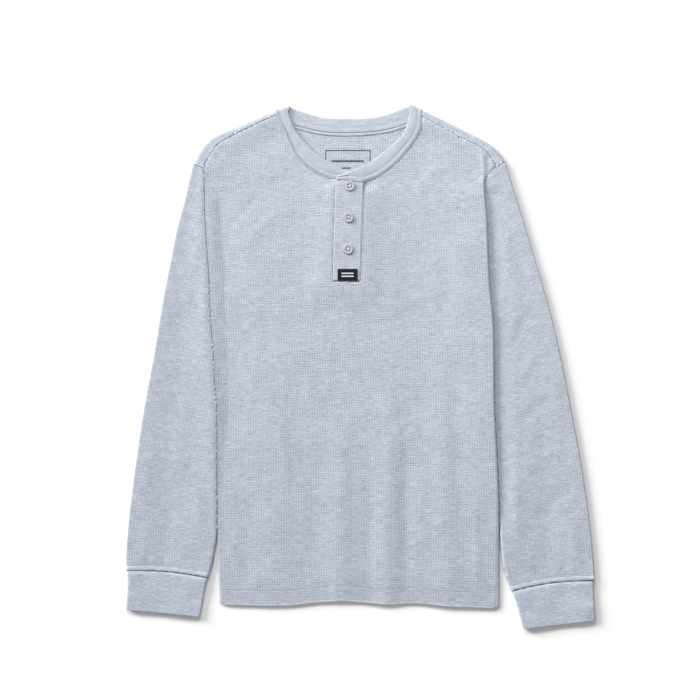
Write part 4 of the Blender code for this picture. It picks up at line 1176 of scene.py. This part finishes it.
def band_section(width, lip, tip):
    """Reach from the seam and depth below the outer face, round the section: the ridge, which starts a lip's
    width over the front at the height of its tip, the plain band with a slight crown, the rounded free edge,
    the same again inside, flatter, and the lip's underside."""
    half = RIB / 2
    width, lip, tip = width[:, None], lip[:, None], tip[:, None]
    ridge, flat = np.linspace(0, 1, 10)[None, :-1], np.linspace(0, 1, 12)[None, :-1]
    turn = np.linspace(pi / 2, -pi / 2, 9)[None]
    wide = ridge_width(width)
    plain = wide + RIDGE_GAP + flat * (width - half - wide - RIDGE_GAP)
    hump = NECK_RIDGE_RISE * np.sin(pi * ridge) ** 0.6
    crown = 0.35 * np.sin(pi * flat) ** 0.7 + 0 * width - 0.2 * (flat == 0)
    outside = np.concatenate([-lip + ridge * (wide + lip), plain], axis=1)
    inside = np.concatenate([ridge * wide, plain], axis=1)[:, ::-1]
    rise = np.concatenate([tip * (1 - ridge) ** 2 + hump, crown], axis=1)
    rise_inside = np.concatenate([0.45 * hump + 0 * width, 0.45 * crown], axis=1)[:, ::-1]
    reach = np.concatenate([outside, width - half + half * np.cos(turn), inside, 0 * lip, -lip], axis=1)
    depth = np.concatenate([-rise, half - half * np.sin(turn) + 0 * width, RIB + rise_inside,
                            LIP_THICKNESS - tip, LIP_THICKNESS - tip - 0.05], axis=1)
    return reach, depth


def lip_of(seam, normal, low_count):
    """Width and height of the lip at each station: it lies on the front's cloth or the placket's top edge,
    and there is none where the band turns over the shoulders, behind, or under the upper lap."""
    x = seam[:, 0]
    beside_front = normal[:, 2] > 0.99
    over_placket = (x > PLACKET[-1][1] - 1) & (x < PLACKET[-1][2] + 0.6)
    lower_lap = np.arange(len(x)) < low_count
    neighbour = np.where(over_placket, PLACKET_TOP - 0.2, resting_height(front_points, seam))
    laps = beside_front & ~(over_placket & lower_lap)
    width = np.where(laps, np.where(over_placket, 0.5, LIP), 0.1)
    tip = np.where(laps, neighbour + LIP_CLEAR + LIP_THICKNESS - seam[:, 2], -0.25)
    even = np.ones(5) / 5
    return tuple(np.convolve(np.pad(v, 2, mode="edge"), even, "valid") for v in (width, tip))


def fold_stations(row, turns):
    """Seam point, free point and outward normal round one shoulder fold."""
    foot = np.array(neck_foot(row))
    out = np.append(fold_normal(row), 0)
    normal = np.cos(turns)[:, None] * out + np.sin(turns)[:, None] * [0, 0, 1.0]
    lift = FOLD * normal + [0, 0, FOLD]
    return np.append(foot[:2], 0) + lift, np.append(foot[2:], 0) + lift, normal


def level_stations(rows, height, up):
    """Seam point, free point and normal of stations that lie flat at a height."""
    z = np.broadcast_to(height, len(rows))[:, None]
    return (np.concatenate([rows[:, :2], z], axis=1), np.concatenate([rows[:, 2:], z], axis=1),
            np.tile([0, 0, float(up)], (len(rows), 1)))


def neck_stations():
    """Stations of the whole band, from the lower lapped end round to the upper one, and how many of them are
    on the lower lap's side."""
    low = neck_front[neck_front[:, 0] < LAP_LOW_END][::-1].copy()
    high = neck_front[neck_front[:, 0] > LAP_HIGH_END][::-1].copy()
    past = np.clip((low[:, 0] - LAP_CROSSING) / 4, 0, 1)[:, None]
    low[:, 2:] = low[:, :2] + (1 - 0.4 * past) * (low[:, 2:] - low[:, :2])
    left = np.clip((high[:, 0] - LAP_HIGH_END) / (LAP_CROSSING - LAP_HIGH_END), 0, 1)[:, None]
    high[:, 2:] = high[:, :2] + (LAP_TIP + (1 - LAP_TIP) * left) * (high[:, 2:] - high[:, :2])
    turn = np.linspace(pi / 2, -pi / 2, 15)
    parts = [level_stations(low, table(BAND_LOW, low[:, 0], 1), 1), fold_stations(NECK_FOLD_R, turn),
             level_stations(neck_back[::-1][1:-1], 0.0, -1), fold_stations(NECK_FOLD_L, -turn),
             level_stations(high, table(BAND_HIGH, high[:, 0], 1), 1)]
    return [np.concatenate([p[k] for p in parts]) for k in range(3)], len(low)


def make_neckband():
    """Neckband: its section carried along the stations, closed at both ends."""
    (seam, free, normal), low_count = neck_stations()
    width = np.linalg.norm(free - seam, axis=1)
    across = unit(free - seam)
    reach, depth = band_section(width - GAP / 2, *lip_of(seam, normal, low_count))
    points = seam[:, None] + (reach + GAP / 2)[..., None] * across[:, None]
    points -= depth[..., None] * normal[:, None]
    points[..., 2] = np.maximum(points[..., 2], 0)
    number = np.arange(reach.size).reshape(reach.shape)
    along = far_along((seam + free) / 2)
    round_it = np.cumsum(np.linalg.norm(np.diff(points, axis=1, prepend=points[:, -1:]), axis=2), axis=1)
    weave = np.stack([round_it, np.broadcast_to(along[:, None], round_it.shape)], axis=2)
    weave = weave.reshape(-1, 2)
    uv = weave / weave.max(axis=0) * [0.2, 0.98] + [0.01, 0.01]
    groups = [tube_faces(number), number[:1, ::-1], number[-1:]]
    made = mesh_piece("neckband_rib", points.reshape(-1, 3), groups, band_rib, uv, weave[:, ::-1],
                      np.zeros(number.size))
    return made, (seam, across, normal, width)


neckband, neck_frame = make_neckband()
print("neckband:", len(neckband.data.polygons), "faces")

# %% [markdown]
# ## Placket
# The placket is a folded strip of the same knit, sewn on over the opening. It is a small lattice of its own
# whose edges round over; the left edge is the fold that opens, the right edge is stitched down.

# %% placket
PLACKET_CELLS = (22, 78)
# How far its edges sink and from how far: left, right and foot
PLACKET_EDGES = [(0.05, 1.4), (0.15, 1.6), (0.1, 1.6)]
PLACKET_WALL = 1.8


def make_placket():
    """Placket: lattice between its two long edges, from its foot to the neckband's seam."""
    rows_of = np.array(PLACKET)
    columns, rows = PLACKET_CELLS
    across = np.linspace(0, 1, columns + 1)
    up = np.linspace(0, 1, rows + 1)[:, None]
    x_top = rows_of[-1, 1] + (rows_of[-1, 2] - rows_of[-1, 1]) * across
    y_top = np.interp(x_top, neck_front[:, 0], neck_front[:, 1]) - 2 * GAP
    y = rows_of[0, 0] + (y_top - rows_of[0, 0]) * up
    left, right = (np.interp(y, rows_of[:, 0], rows_of[:, k]) for k in (1, 2))
    x = left + (right - left) * across
    from_side = np.minimum(x - left, right - x)
    z = np.full(x.shape, PLACKET_TOP)
    for (depth, reach), distance in zip(PLACKET_EDGES, (x - left, right - x, y - rows_of[0, 0])):
        z -= depth * fade(distance, reach)
    z -= 0.6 * fade(x - left, 10.0) * fade(y_top - y, 14.0)
    z += swell(1.6 * x, 1.6 * y, 51, 0.15) - 0.15
    whole = np.stack([x, y, z], axis=2)
    pit = waffle_pit(rows + 1, columns + 1, 52) * 0.8 * (1 - 0.8 * fade(from_side, 2.0))
    normal = normals_of(whole)
    normal = normal * np.sign(normal[3, 3, 2])
    outer = whole - (RELIEF * pit)[..., None] * normal
    inner = whole.copy()
    inner[..., 2] = np.minimum(PLACKET_TOP - PLACKET_WALL + 0.9 * (from_side < 0.5), z - 0.4)
    made = panel("placket_cloth", outer, inner, np.ones(x.shape, bool), placket_knit,
                 lattice_weave(x.shape), pit)
    return made, whole.reshape(-1, 3)


placket_knit = melange("placket_knit_melange", "9FA5B4", "B6BCC7", "C9CDD5", 0.64, (0.009, 0.001), 0.0009,
                       0.4)
placket, placket_points = make_placket()
print("placket:", len(placket.data.polygons), "faces")

# %% [markdown]
# ## Buttons
# Each button is turned: a dished middle, a rolled rim, a flat back. The four holes are deep round wells in
# the same surface, worked out as a height over a disc, and a cross of thread goes through them.

# %% buttons
BUTTON_BASE = PLACKET_TOP + 0.1
BUTTON_TURNS = {"button_top": 0.2, "button_middle": -0.12, "button_bottom": -0.3}
BUTTON_PROFILE = [(0, 1.3), (3.0, 1.3), (3.4, 1.34), (3.9, 1.47), (4.4, 1.55), (4.9, 1.55), (5.3, 1.46),
                  (5.55, 1.25), (5.7, 0.9)]
BUTTON_BACK = [(5.62, 0.6), (5.3, 0.3), (4.7, 0.05), (4.2, 0.0), (2.0, 0.0), (0.2, 0.0)]
HOLE_OFFSET = 2.0
HOLE_RADIUS = 0.8
HOLE_DEPTH = 1.0
HOLE_EDGE = 0.06                # how sharply a well begins


def make_button(name, x, y, turn):
    """Button: rings of points over the disc, down the rim and across the flat back. The height is the turned
    profile less four wells, each depth / (1 + e^((distance - radius) / HOLE_EDGE))."""
    angle = np.linspace(0, 2 * pi, 73)[:-1]
    radius = np.concatenate([np.linspace(0.12, 3.2, 24), np.linspace(3.4, 5.7, 14)])
    r, a = np.meshgrid(radius, angle, indexing="ij")
    well = np.zeros(r.shape)
    for hole in turn + pi / 4 + np.arange(4) * pi / 2:
        gone = np.hypot(*(r * way(a) - HOLE_OFFSET * way(hole) for way in (np.cos, np.sin)))
        well += 1 / (1 + np.exp(np.clip((gone - HOLE_RADIUS) / HOLE_EDGE, -40, 40)))
    z = table(BUTTON_PROFILE, r, 1) - HOLE_DEPTH * well
    lower = np.array(BUTTON_BACK)
    r_low, a_low = np.meshgrid(lower[:, 0], angle, indexing="ij")
    z_low = np.broadcast_to(lower[:, 1:], r_low.shape)
    r, a, z = (np.concatenate([p, q]) for p, q in ((r, r_low), (a, a_low), (z, z_low)))
    points = np.stack([x + r * np.cos(a), y + r * np.sin(a), BUTTON_BASE + z], axis=2)
    # how deep in a well each point is: this paints shade into the holes' colour
    pit = np.concatenate([well, 0 * r_low]).ravel()
    number = np.arange(r.size).reshape(r.shape)
    groups = [tube_faces(number, inward=True), number[:1], number[-1:, ::-1]]
    return mesh_piece(name, points.reshape(-1, 3), groups, button_plastic, pit=pit)


def button_threads():
    """Crosses of thread: two strands from hole to hole along each diagonal, arched over the middle."""
    starts, ends = [], []
    for name, (x, y) in BUTTONS.items():
        for diagonal in (pi / 4, 3 * pi / 4):
            heading = BUTTON_TURNS[name] + diagonal
            reach = np.array([np.cos(heading), np.sin(heading), 0]) * (HOLE_OFFSET - 0.1)
            side = np.array([-np.sin(heading), np.cos(heading), 0])
            for shift in (-0.17, 0.17):
                centre = np.array([x, y, BUTTON_BASE + 0.9 + 0.12 * (diagonal > 1)]) + shift * side
                starts.append(centre - reach)
                ends.append(centre + reach)
    return stitches("button_threads", np.array(starts), np.array(ends), 0.62, 0.17, button_thread)


buttons = {name: make_button(name + "_cast", *BUTTONS[name], BUTTON_TURNS[name]) for name in BUTTONS}
threads = button_threads()
print("buttons:", sum(len(b.data.polygons) for b in buttons.values()), "faces")

# %% [markdown]
# ## Label and neck mark
# A small black damask label is sewn over the placket's foot. Its face carries only two plain pale bars. The
# mark inside the back of the neck is a plain outline with two bars, a thin transfer on the cloth.

# %% label
LABEL_BASE = PLACKET_TOP + 0.1
LABEL_BARS = [("label_bar_upper", 1.5), ("label_bar_lower", -1.8)]      # name, y from the label's centre
BAR_SIZE = (13.5, 1.5)


def slab(name, centre, size, base, top, round_edge, finish, steps, texture):
    """Thin pad: a grid, closer at its edges, u to sin(pi u) / 8 + 0.75 u, whose top sinks towards the base
    over round_edge, closed by a flat back. texture is the depth of its fine ribs."""
    grid = np.meshgrid(*(np.linspace(-0.5, 0.5, many + 1) for many in steps))
    x, y = (c + (np.sin(pi * u) / 8 + u * 0.75) * wide for c, wide, u in zip(centre, size, grid))
    from_edge = np.minimum(np.minimum(x - x.min(), x.max() - x), np.minimum(y - y.min(), y.max() - y))
    z = base + (top - base) * (1 - 0.55 * fade(from_edge, round_edge))
    z -= texture * (np.arange(steps[0] + 1) % 2)
    outer = np.stack([x, y, z], axis=2)
    inner = np.stack([x, y, np.full(x.shape, base)], axis=2)
    weave = np.stack([x - x.min(), y - y.min()], axis=2)
    return panel(name, outer, inner, np.ones(x.shape, bool), finish, weave, np.zeros(x.shape), coarse=6)


label = slab("label_cloth", LABEL_CENTRE, LABEL_SIZE, LABEL_BASE, LABEL_BASE + 1.0, 0.9, woven_black,
             (60, 36), 0.05)
label_bars = [slab(name, (LABEL_CENTRE[0], LABEL_CENTRE[1] + up), BAR_SIZE, LABEL_BASE + 0.9,
                   LABEL_BASE + 1.1, 0.3, woven_pale, (36, 6), 0.03) for name, up in LABEL_BARS]

# %% neck mark and the inside of the neck seam
MARK = (-39.4, 10.3, 213.5, 242.1)          # left, right, bottom and top of the outline
MARK_LINE = [(0.55, -0.1), (0.5, 0.1), (-0.5, 0.1), (-0.55, -0.1)]
MARK_BARS = [((-33.0, 230.2), (3.2, 230.2), 1.25), ((-21.5, 222.4), (-11.5, 222.4), 0.8)]
TAPE = [(1.6, -0.2), (1.6, 0.35), (1.1, 0.6), (-1.1, 0.6), (-1.6, 0.35), (-1.6, -0.2)]
TAPE_REACH = 2.0                            # from the neck seam to the middle of the turned seam


def ribbon(name, line, section, finish, closed=False):
    """A strip carried along a line (x, y, z): the rows of its section are (sideways, up), sideways measured
    to the left, and at a corner it grows by 1 / cos(half the turn)."""
    ahead = unit(np.roll(line, -1, axis=0) - line)
    behind = np.roll(ahead, 1, axis=0)
    if not closed:
        ahead[-1], behind[0] = behind[-1], ahead[0]
    along = unit(ahead + behind)
    side = np.stack([-along[:, 1], along[:, 0], 0 * along[:, 0]], axis=1)
    grow = 1 / np.maximum(np.sum(along * ahead, axis=1), 0.5)
    section = np.array(section)
    points = line[:, None] + side[:, None] * (section[:, 0] * grow[:, None])[..., None]
    points[..., 2] += section[:, 1]
    number = np.arange(points[..., 0].size).reshape(points.shape[:2])
    groups = ([tube_faces(np.concatenate([number, number[:1]]))] if closed
              else [tube_faces(number), number[:1, ::-1], number[-1:]])
    weave = np.stack(np.meshgrid(far_along(line), far_along(section), indexing="ij"), axis=2).reshape(-1, 2)
    uv = weave / weave.max(axis=0) * 0.98 + 0.01
    return mesh_piece(name, points.reshape(-1, 3), groups, finish, uv, weave, np.zeros(len(weave)))


def inside_back(line):
    """A line (x, y) laid on the inner face of the back, with a point every 2 mm."""
    steps = far_along(line)
    flat = read(line, steps, np.unique(np.concatenate([steps, np.arange(0, steps[-1], 2.0)])))
    return np.concatenate([flat, (resting_height(back_points, flat) + CLOTH)[:, None]], axis=1)


left, right, bottom, top = MARK
corners_of_mark = np.array([(left, top), (right, top), (right, bottom), (left, bottom), (left, top)])
mark = [ribbon("neck_mark_outline", inside_back(corners_of_mark)[:-1], MARK_LINE, transfer_ink, closed=True)]
for k, (start, end, half) in enumerate(MARK_BARS):
    section = [(half, -0.1), (half * 0.92, 0.1), (-half * 0.92, 0.1), (-half, -0.1)]
    mark.append(ribbon(f"neck_mark_bar_{k + 1}", inside_back(np.array([start, end])), section, transfer_ink))
behind_neck = neck_back[6:-6]
into_band = unit(behind_neck[:, 2:] - behind_neck[:, :2])
tape = ribbon("neck_seam_inside", inside_back(behind_neck[:, :2] - TAPE_REACH * into_band), TAPE, band_rib)
print("neck mark and seam:", sum(len(o.data.polygons) for o in (*mark, tape)), "faces")

# %% [markdown]
# ## Sewing threads
# The neckband's ridge and the bands above the cuffs are coverstitched: short threads slant across them. The
# hem, the bands and the placket have plain rows of stitches, which lie in the groove that they pull.

# %% sewing threads
SHOULDER_CORD = [(0.14, -0.3), (0.14, 0.1), (0.06, 0.16), (-0.06, 0.16), (-0.14, 0.1), (-0.14, -0.3)]
ARMHOLE_CORD = [(0.36, -0.5), (0.36, 0.0), (0.18, 0.15), (-0.18, 0.15), (-0.36, 0.0), (-0.36, -0.5)]


def raised(line, points, lift):
    """A line (x, y) laid on the cloth whose points are given, plus a lift."""
    return np.concatenate([line[:, :2], (resting_height(points, line) + lift)[:, None]], axis=1)


def neck_cover():
    """Short threads that slant across the neckband's ridge, one every 2.5 mm."""
    seam, across, normal, width = neck_frame
    steps = far_along(seam)
    at = np.arange(1.0, steps[-1] - 2.0, 2.5)
    wide = ridge_width(np.interp(at, steps, width))[:, None]
    ends = [read(seam, steps, at + further) + read(across, steps, at + further) * share * wide
            + read(normal, steps, at + further) * up
            for further, share, up in ((0, 0.12, 0.42), (1.3, 0.86, 0.2))]
    on_top = read(normal, steps, at)[:, 2] > -0.2
    return ends[0][on_top], ends[1][on_top]


def band_cover(end_line, points):
    """Threads that slant across the band above a cuff, one every 2.2 mm."""
    edge = smooth(end_line, 41)[1:-1]
    way, up = end_frame(end_line[0], end_line[-1])
    low, high = edge + 0.7 * up - 0.6 * way, edge + (SEAM_BAND - 0.7) * up + 0.6 * way
    return raised(low, points, 0.05), raised(high, points, 0.05)


cover = stitches("neck_coverstitch", *neck_cover(), 0.2, 0.24, seam_thread)
band_covers = [stitches("band_coverstitch_" + side, *band_cover(line, points), 0.1, radius, finish)
               for side, line, points, radius, finish in (("r", end_r, points_r, 0.2, thread),
                                                          ("l", end_l, points_l, 0.27, seam_thread))]
seams = []
for side, line, points in (("r", end_r, points_r), ("l", end_l, points_l)):
    up = end_frame(line[0], line[-1])[1]
    row = raised(smooth(line, 60)[1:-1] + (SEAM_BAND + 0.7) * up, points, 0.0)
    seams.append(stitches("band_topstitch_" + side, *along_line(row, 2.7, 2.1), 0.12, 0.22, seam_thread))
hem_row = raised(hem_line[4:-4, :2] + [0, HEM_DEPTH], front_points, 0.0)
seams.append(stitches("hem_topstitch", *along_line(hem_row, 2.8, 2.0), 0.1, 0.2, thread))
edge_y = np.arange(PLACKET[0][0] + 2.0, 205.0, 2.7)
edge_x = table(PLACKET, edge_y, 2)
edge_start = raised(np.stack([edge_x - 1.2, edge_y], axis=1), placket_points, 0.0)
edge_end = raised(np.stack([edge_x + 1.6, edge_y + 0.4], axis=1), front_points, 0.0)
seams.append(stitches("placket_edgestitch", edge_start, edge_end, 0.1, 0.35, thread))
cords = {}
for name, seam in (("shoulder_seam_r", shoulder_r[:, 2:]), ("shoulder_seam_l", shoulder_l[:, 2:])):
    cords[name] = ribbon(name, raised(seam, front_points, -0.3), SHOULDER_CORD, seam_thread)
for name, outer, side, foot, toward, points, down_to in (
        ("armhole_seam_r", SLEEVE_OUTER_R, SIDE_R, SLEEVE_FOOT_R, -1, points_r, 217.0),
        ("armhole_seam_l", SLEEVE_OUTER_L, SIDE_L, SLEEVE_FOOT_L, 1, points_l, 199.0)):
    inside = sleeve_inside(side, foot, toward)[:, :2]
    seam = np.concatenate([np.linspace(outer[0], inside[0], 12)[:-1], inside[inside[:, 1] > down_to]])
    cords[name] = ribbon(name, raised(seam + [0.3 * toward, 0], points, 0.3), ARMHOLE_CORD, seam_thread)
end_x, end_y = LABEL_SIZE[0] / 2 - 1.0, np.linspace(-4.6, 4.6, 5)
label_start = np.array([(LABEL_CENTRE[0] + side * end_x, LABEL_CENTRE[1] + y, LABEL_BASE + 0.85)
                        for side in (-1, 1) for y in end_y])
seams.append(stitches("label_stitches", label_start, label_start + [0, 1.3, 0], 0.15, 0.16, woven_black))
print("threads:", sum(len(o.data.polygons) for o in (cover, *band_covers, *seams, *cords.values())), "faces")

# %% [markdown]
# ## Ride
# The top is one body, so every piece rides on the root.

# %% pieces and what they stand for
PIECES = [(front, "front", "waffle_knit"), (back, "back", "waffle_knit"),
          (sleeve_r, "sleeve_r", "waffle_knit"), (sleeve_l, "sleeve_l", "waffle_knit"),
          (cuff_r, "cuff_r", "cuff_rib"), (cuff_l, "cuff_l", "cuff_rib"), (neckband, "neckband", "band_rib"),
          (placket, "placket", "waffle_knit"),
          *((button, name, "button_plastic") for name, button in buttons.items()),
          (label, "patch_label", "woven_black")]
for piece, node, slot in PIECES:
    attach(piece, "root")
    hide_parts(node)
RIDERS = {"button_plastic": [threads], "band_rib": [cover, tape], "woven_black": [*label_bars, *mark],
          "waffle_knit": [*band_covers, *seams, *cords.values()]}
for slot, pieces in RIDERS.items():
    for piece in pieces:
        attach(piece, "root")

# %% [markdown]
# ## Table, light and camera
# The table is plain and white. A broad soft light from the upper left gives the low relief its shading and
# the soft shadow at the right and below; the white room fills the rest.

# %% table, light and camera
ROOM_LIGHT = 0.39
KEY_LIGHT = (4.0, 0.5)          # strength, and angle that it fills
TOP_LIGHT = (16.5, 0.9, 0.5)    # strength, width and depth


def floor():
    """Flat square, 6 m wide, just below the cloth. It is whiter towards the foot, further from the lamp, so
    that it looks evenly white."""
    made, tree, shader = new_finish("white_table", {"Roughness": 0.9, "Specular IOR Level": 0.1})
    place = add(tree, "ShaderNodeTexCoord").outputs["Object"]
    apart = add(tree, "ShaderNodeSeparateXYZ", {}, {0: place})
    span = {"From Min": -0.35, "From Max": 0.35, "To Min": 0.96, "To Max": 0.76}
    white = add(tree, "ShaderNodeMapRange", span, {"Value": apart.outputs[1]})
    tree.links.new(white.outputs[0], shader.inputs["Base Color"])
    half, low = 3000.0, -0.05
    points = np.array([(-half, -half, low), (half, -half, low), (half, half, low), (-half, half, low)])
    return mesh_piece("table", points, [np.array([[0, 1, 2, 3]])], made)


table_top = floor()

bpy.context.scene.view_settings.view_transform = "Standard"
world = bpy.data.worlds.new("white_room")
bpy.context.scene.world = world
world.use_nodes = True
world.node_tree.nodes["Background"].inputs["Color"].default_value = (1, 1, 1, 1)
world.node_tree.nodes["Background"].inputs["Strength"].default_value = ROOM_LIGHT

key = bpy.data.lights.new("key", "SUN")
key.energy, key.angle = KEY_LIGHT
top_light = bpy.data.lights.new("top_light", "AREA")
top_light.shape = "RECTANGLE"
top_light.energy, top_light.size, top_light.size_y = TOP_LIGHT
for lamp, place, target in ((key, (-1.7, 1.25, 0.82), (0, 0, 0)), (top_light, (-0.2, 1.2, 1.2), (0, 0.1, 0))):
    stand = bpy.data.objects.new(lamp.name, lamp)
    bpy.context.scene.collection.objects.link(stand)
    stand.location = place
    stand.rotation_euler = (Vector(target) - Vector(place)).to_track_quat("-Z", "Y").to_euler()

VIEW_WIDTH = 0.784
VIEW_CENTRE = (-0.0121, 0.0186)
CAMERA_HEIGHT = 3.0
lens = bpy.data.cameras.new("camera")
lens.sensor_width = 36.0
lens.lens = lens.sensor_width * CAMERA_HEIGHT / VIEW_WIDTH
lens.clip_end = 20.0
camera = bpy.data.objects.new("camera", lens)
bpy.context.scene.collection.objects.link(camera)
camera.location = (*VIEW_CENTRE, CAMERA_HEIGHT)
bpy.context.scene.camera = camera
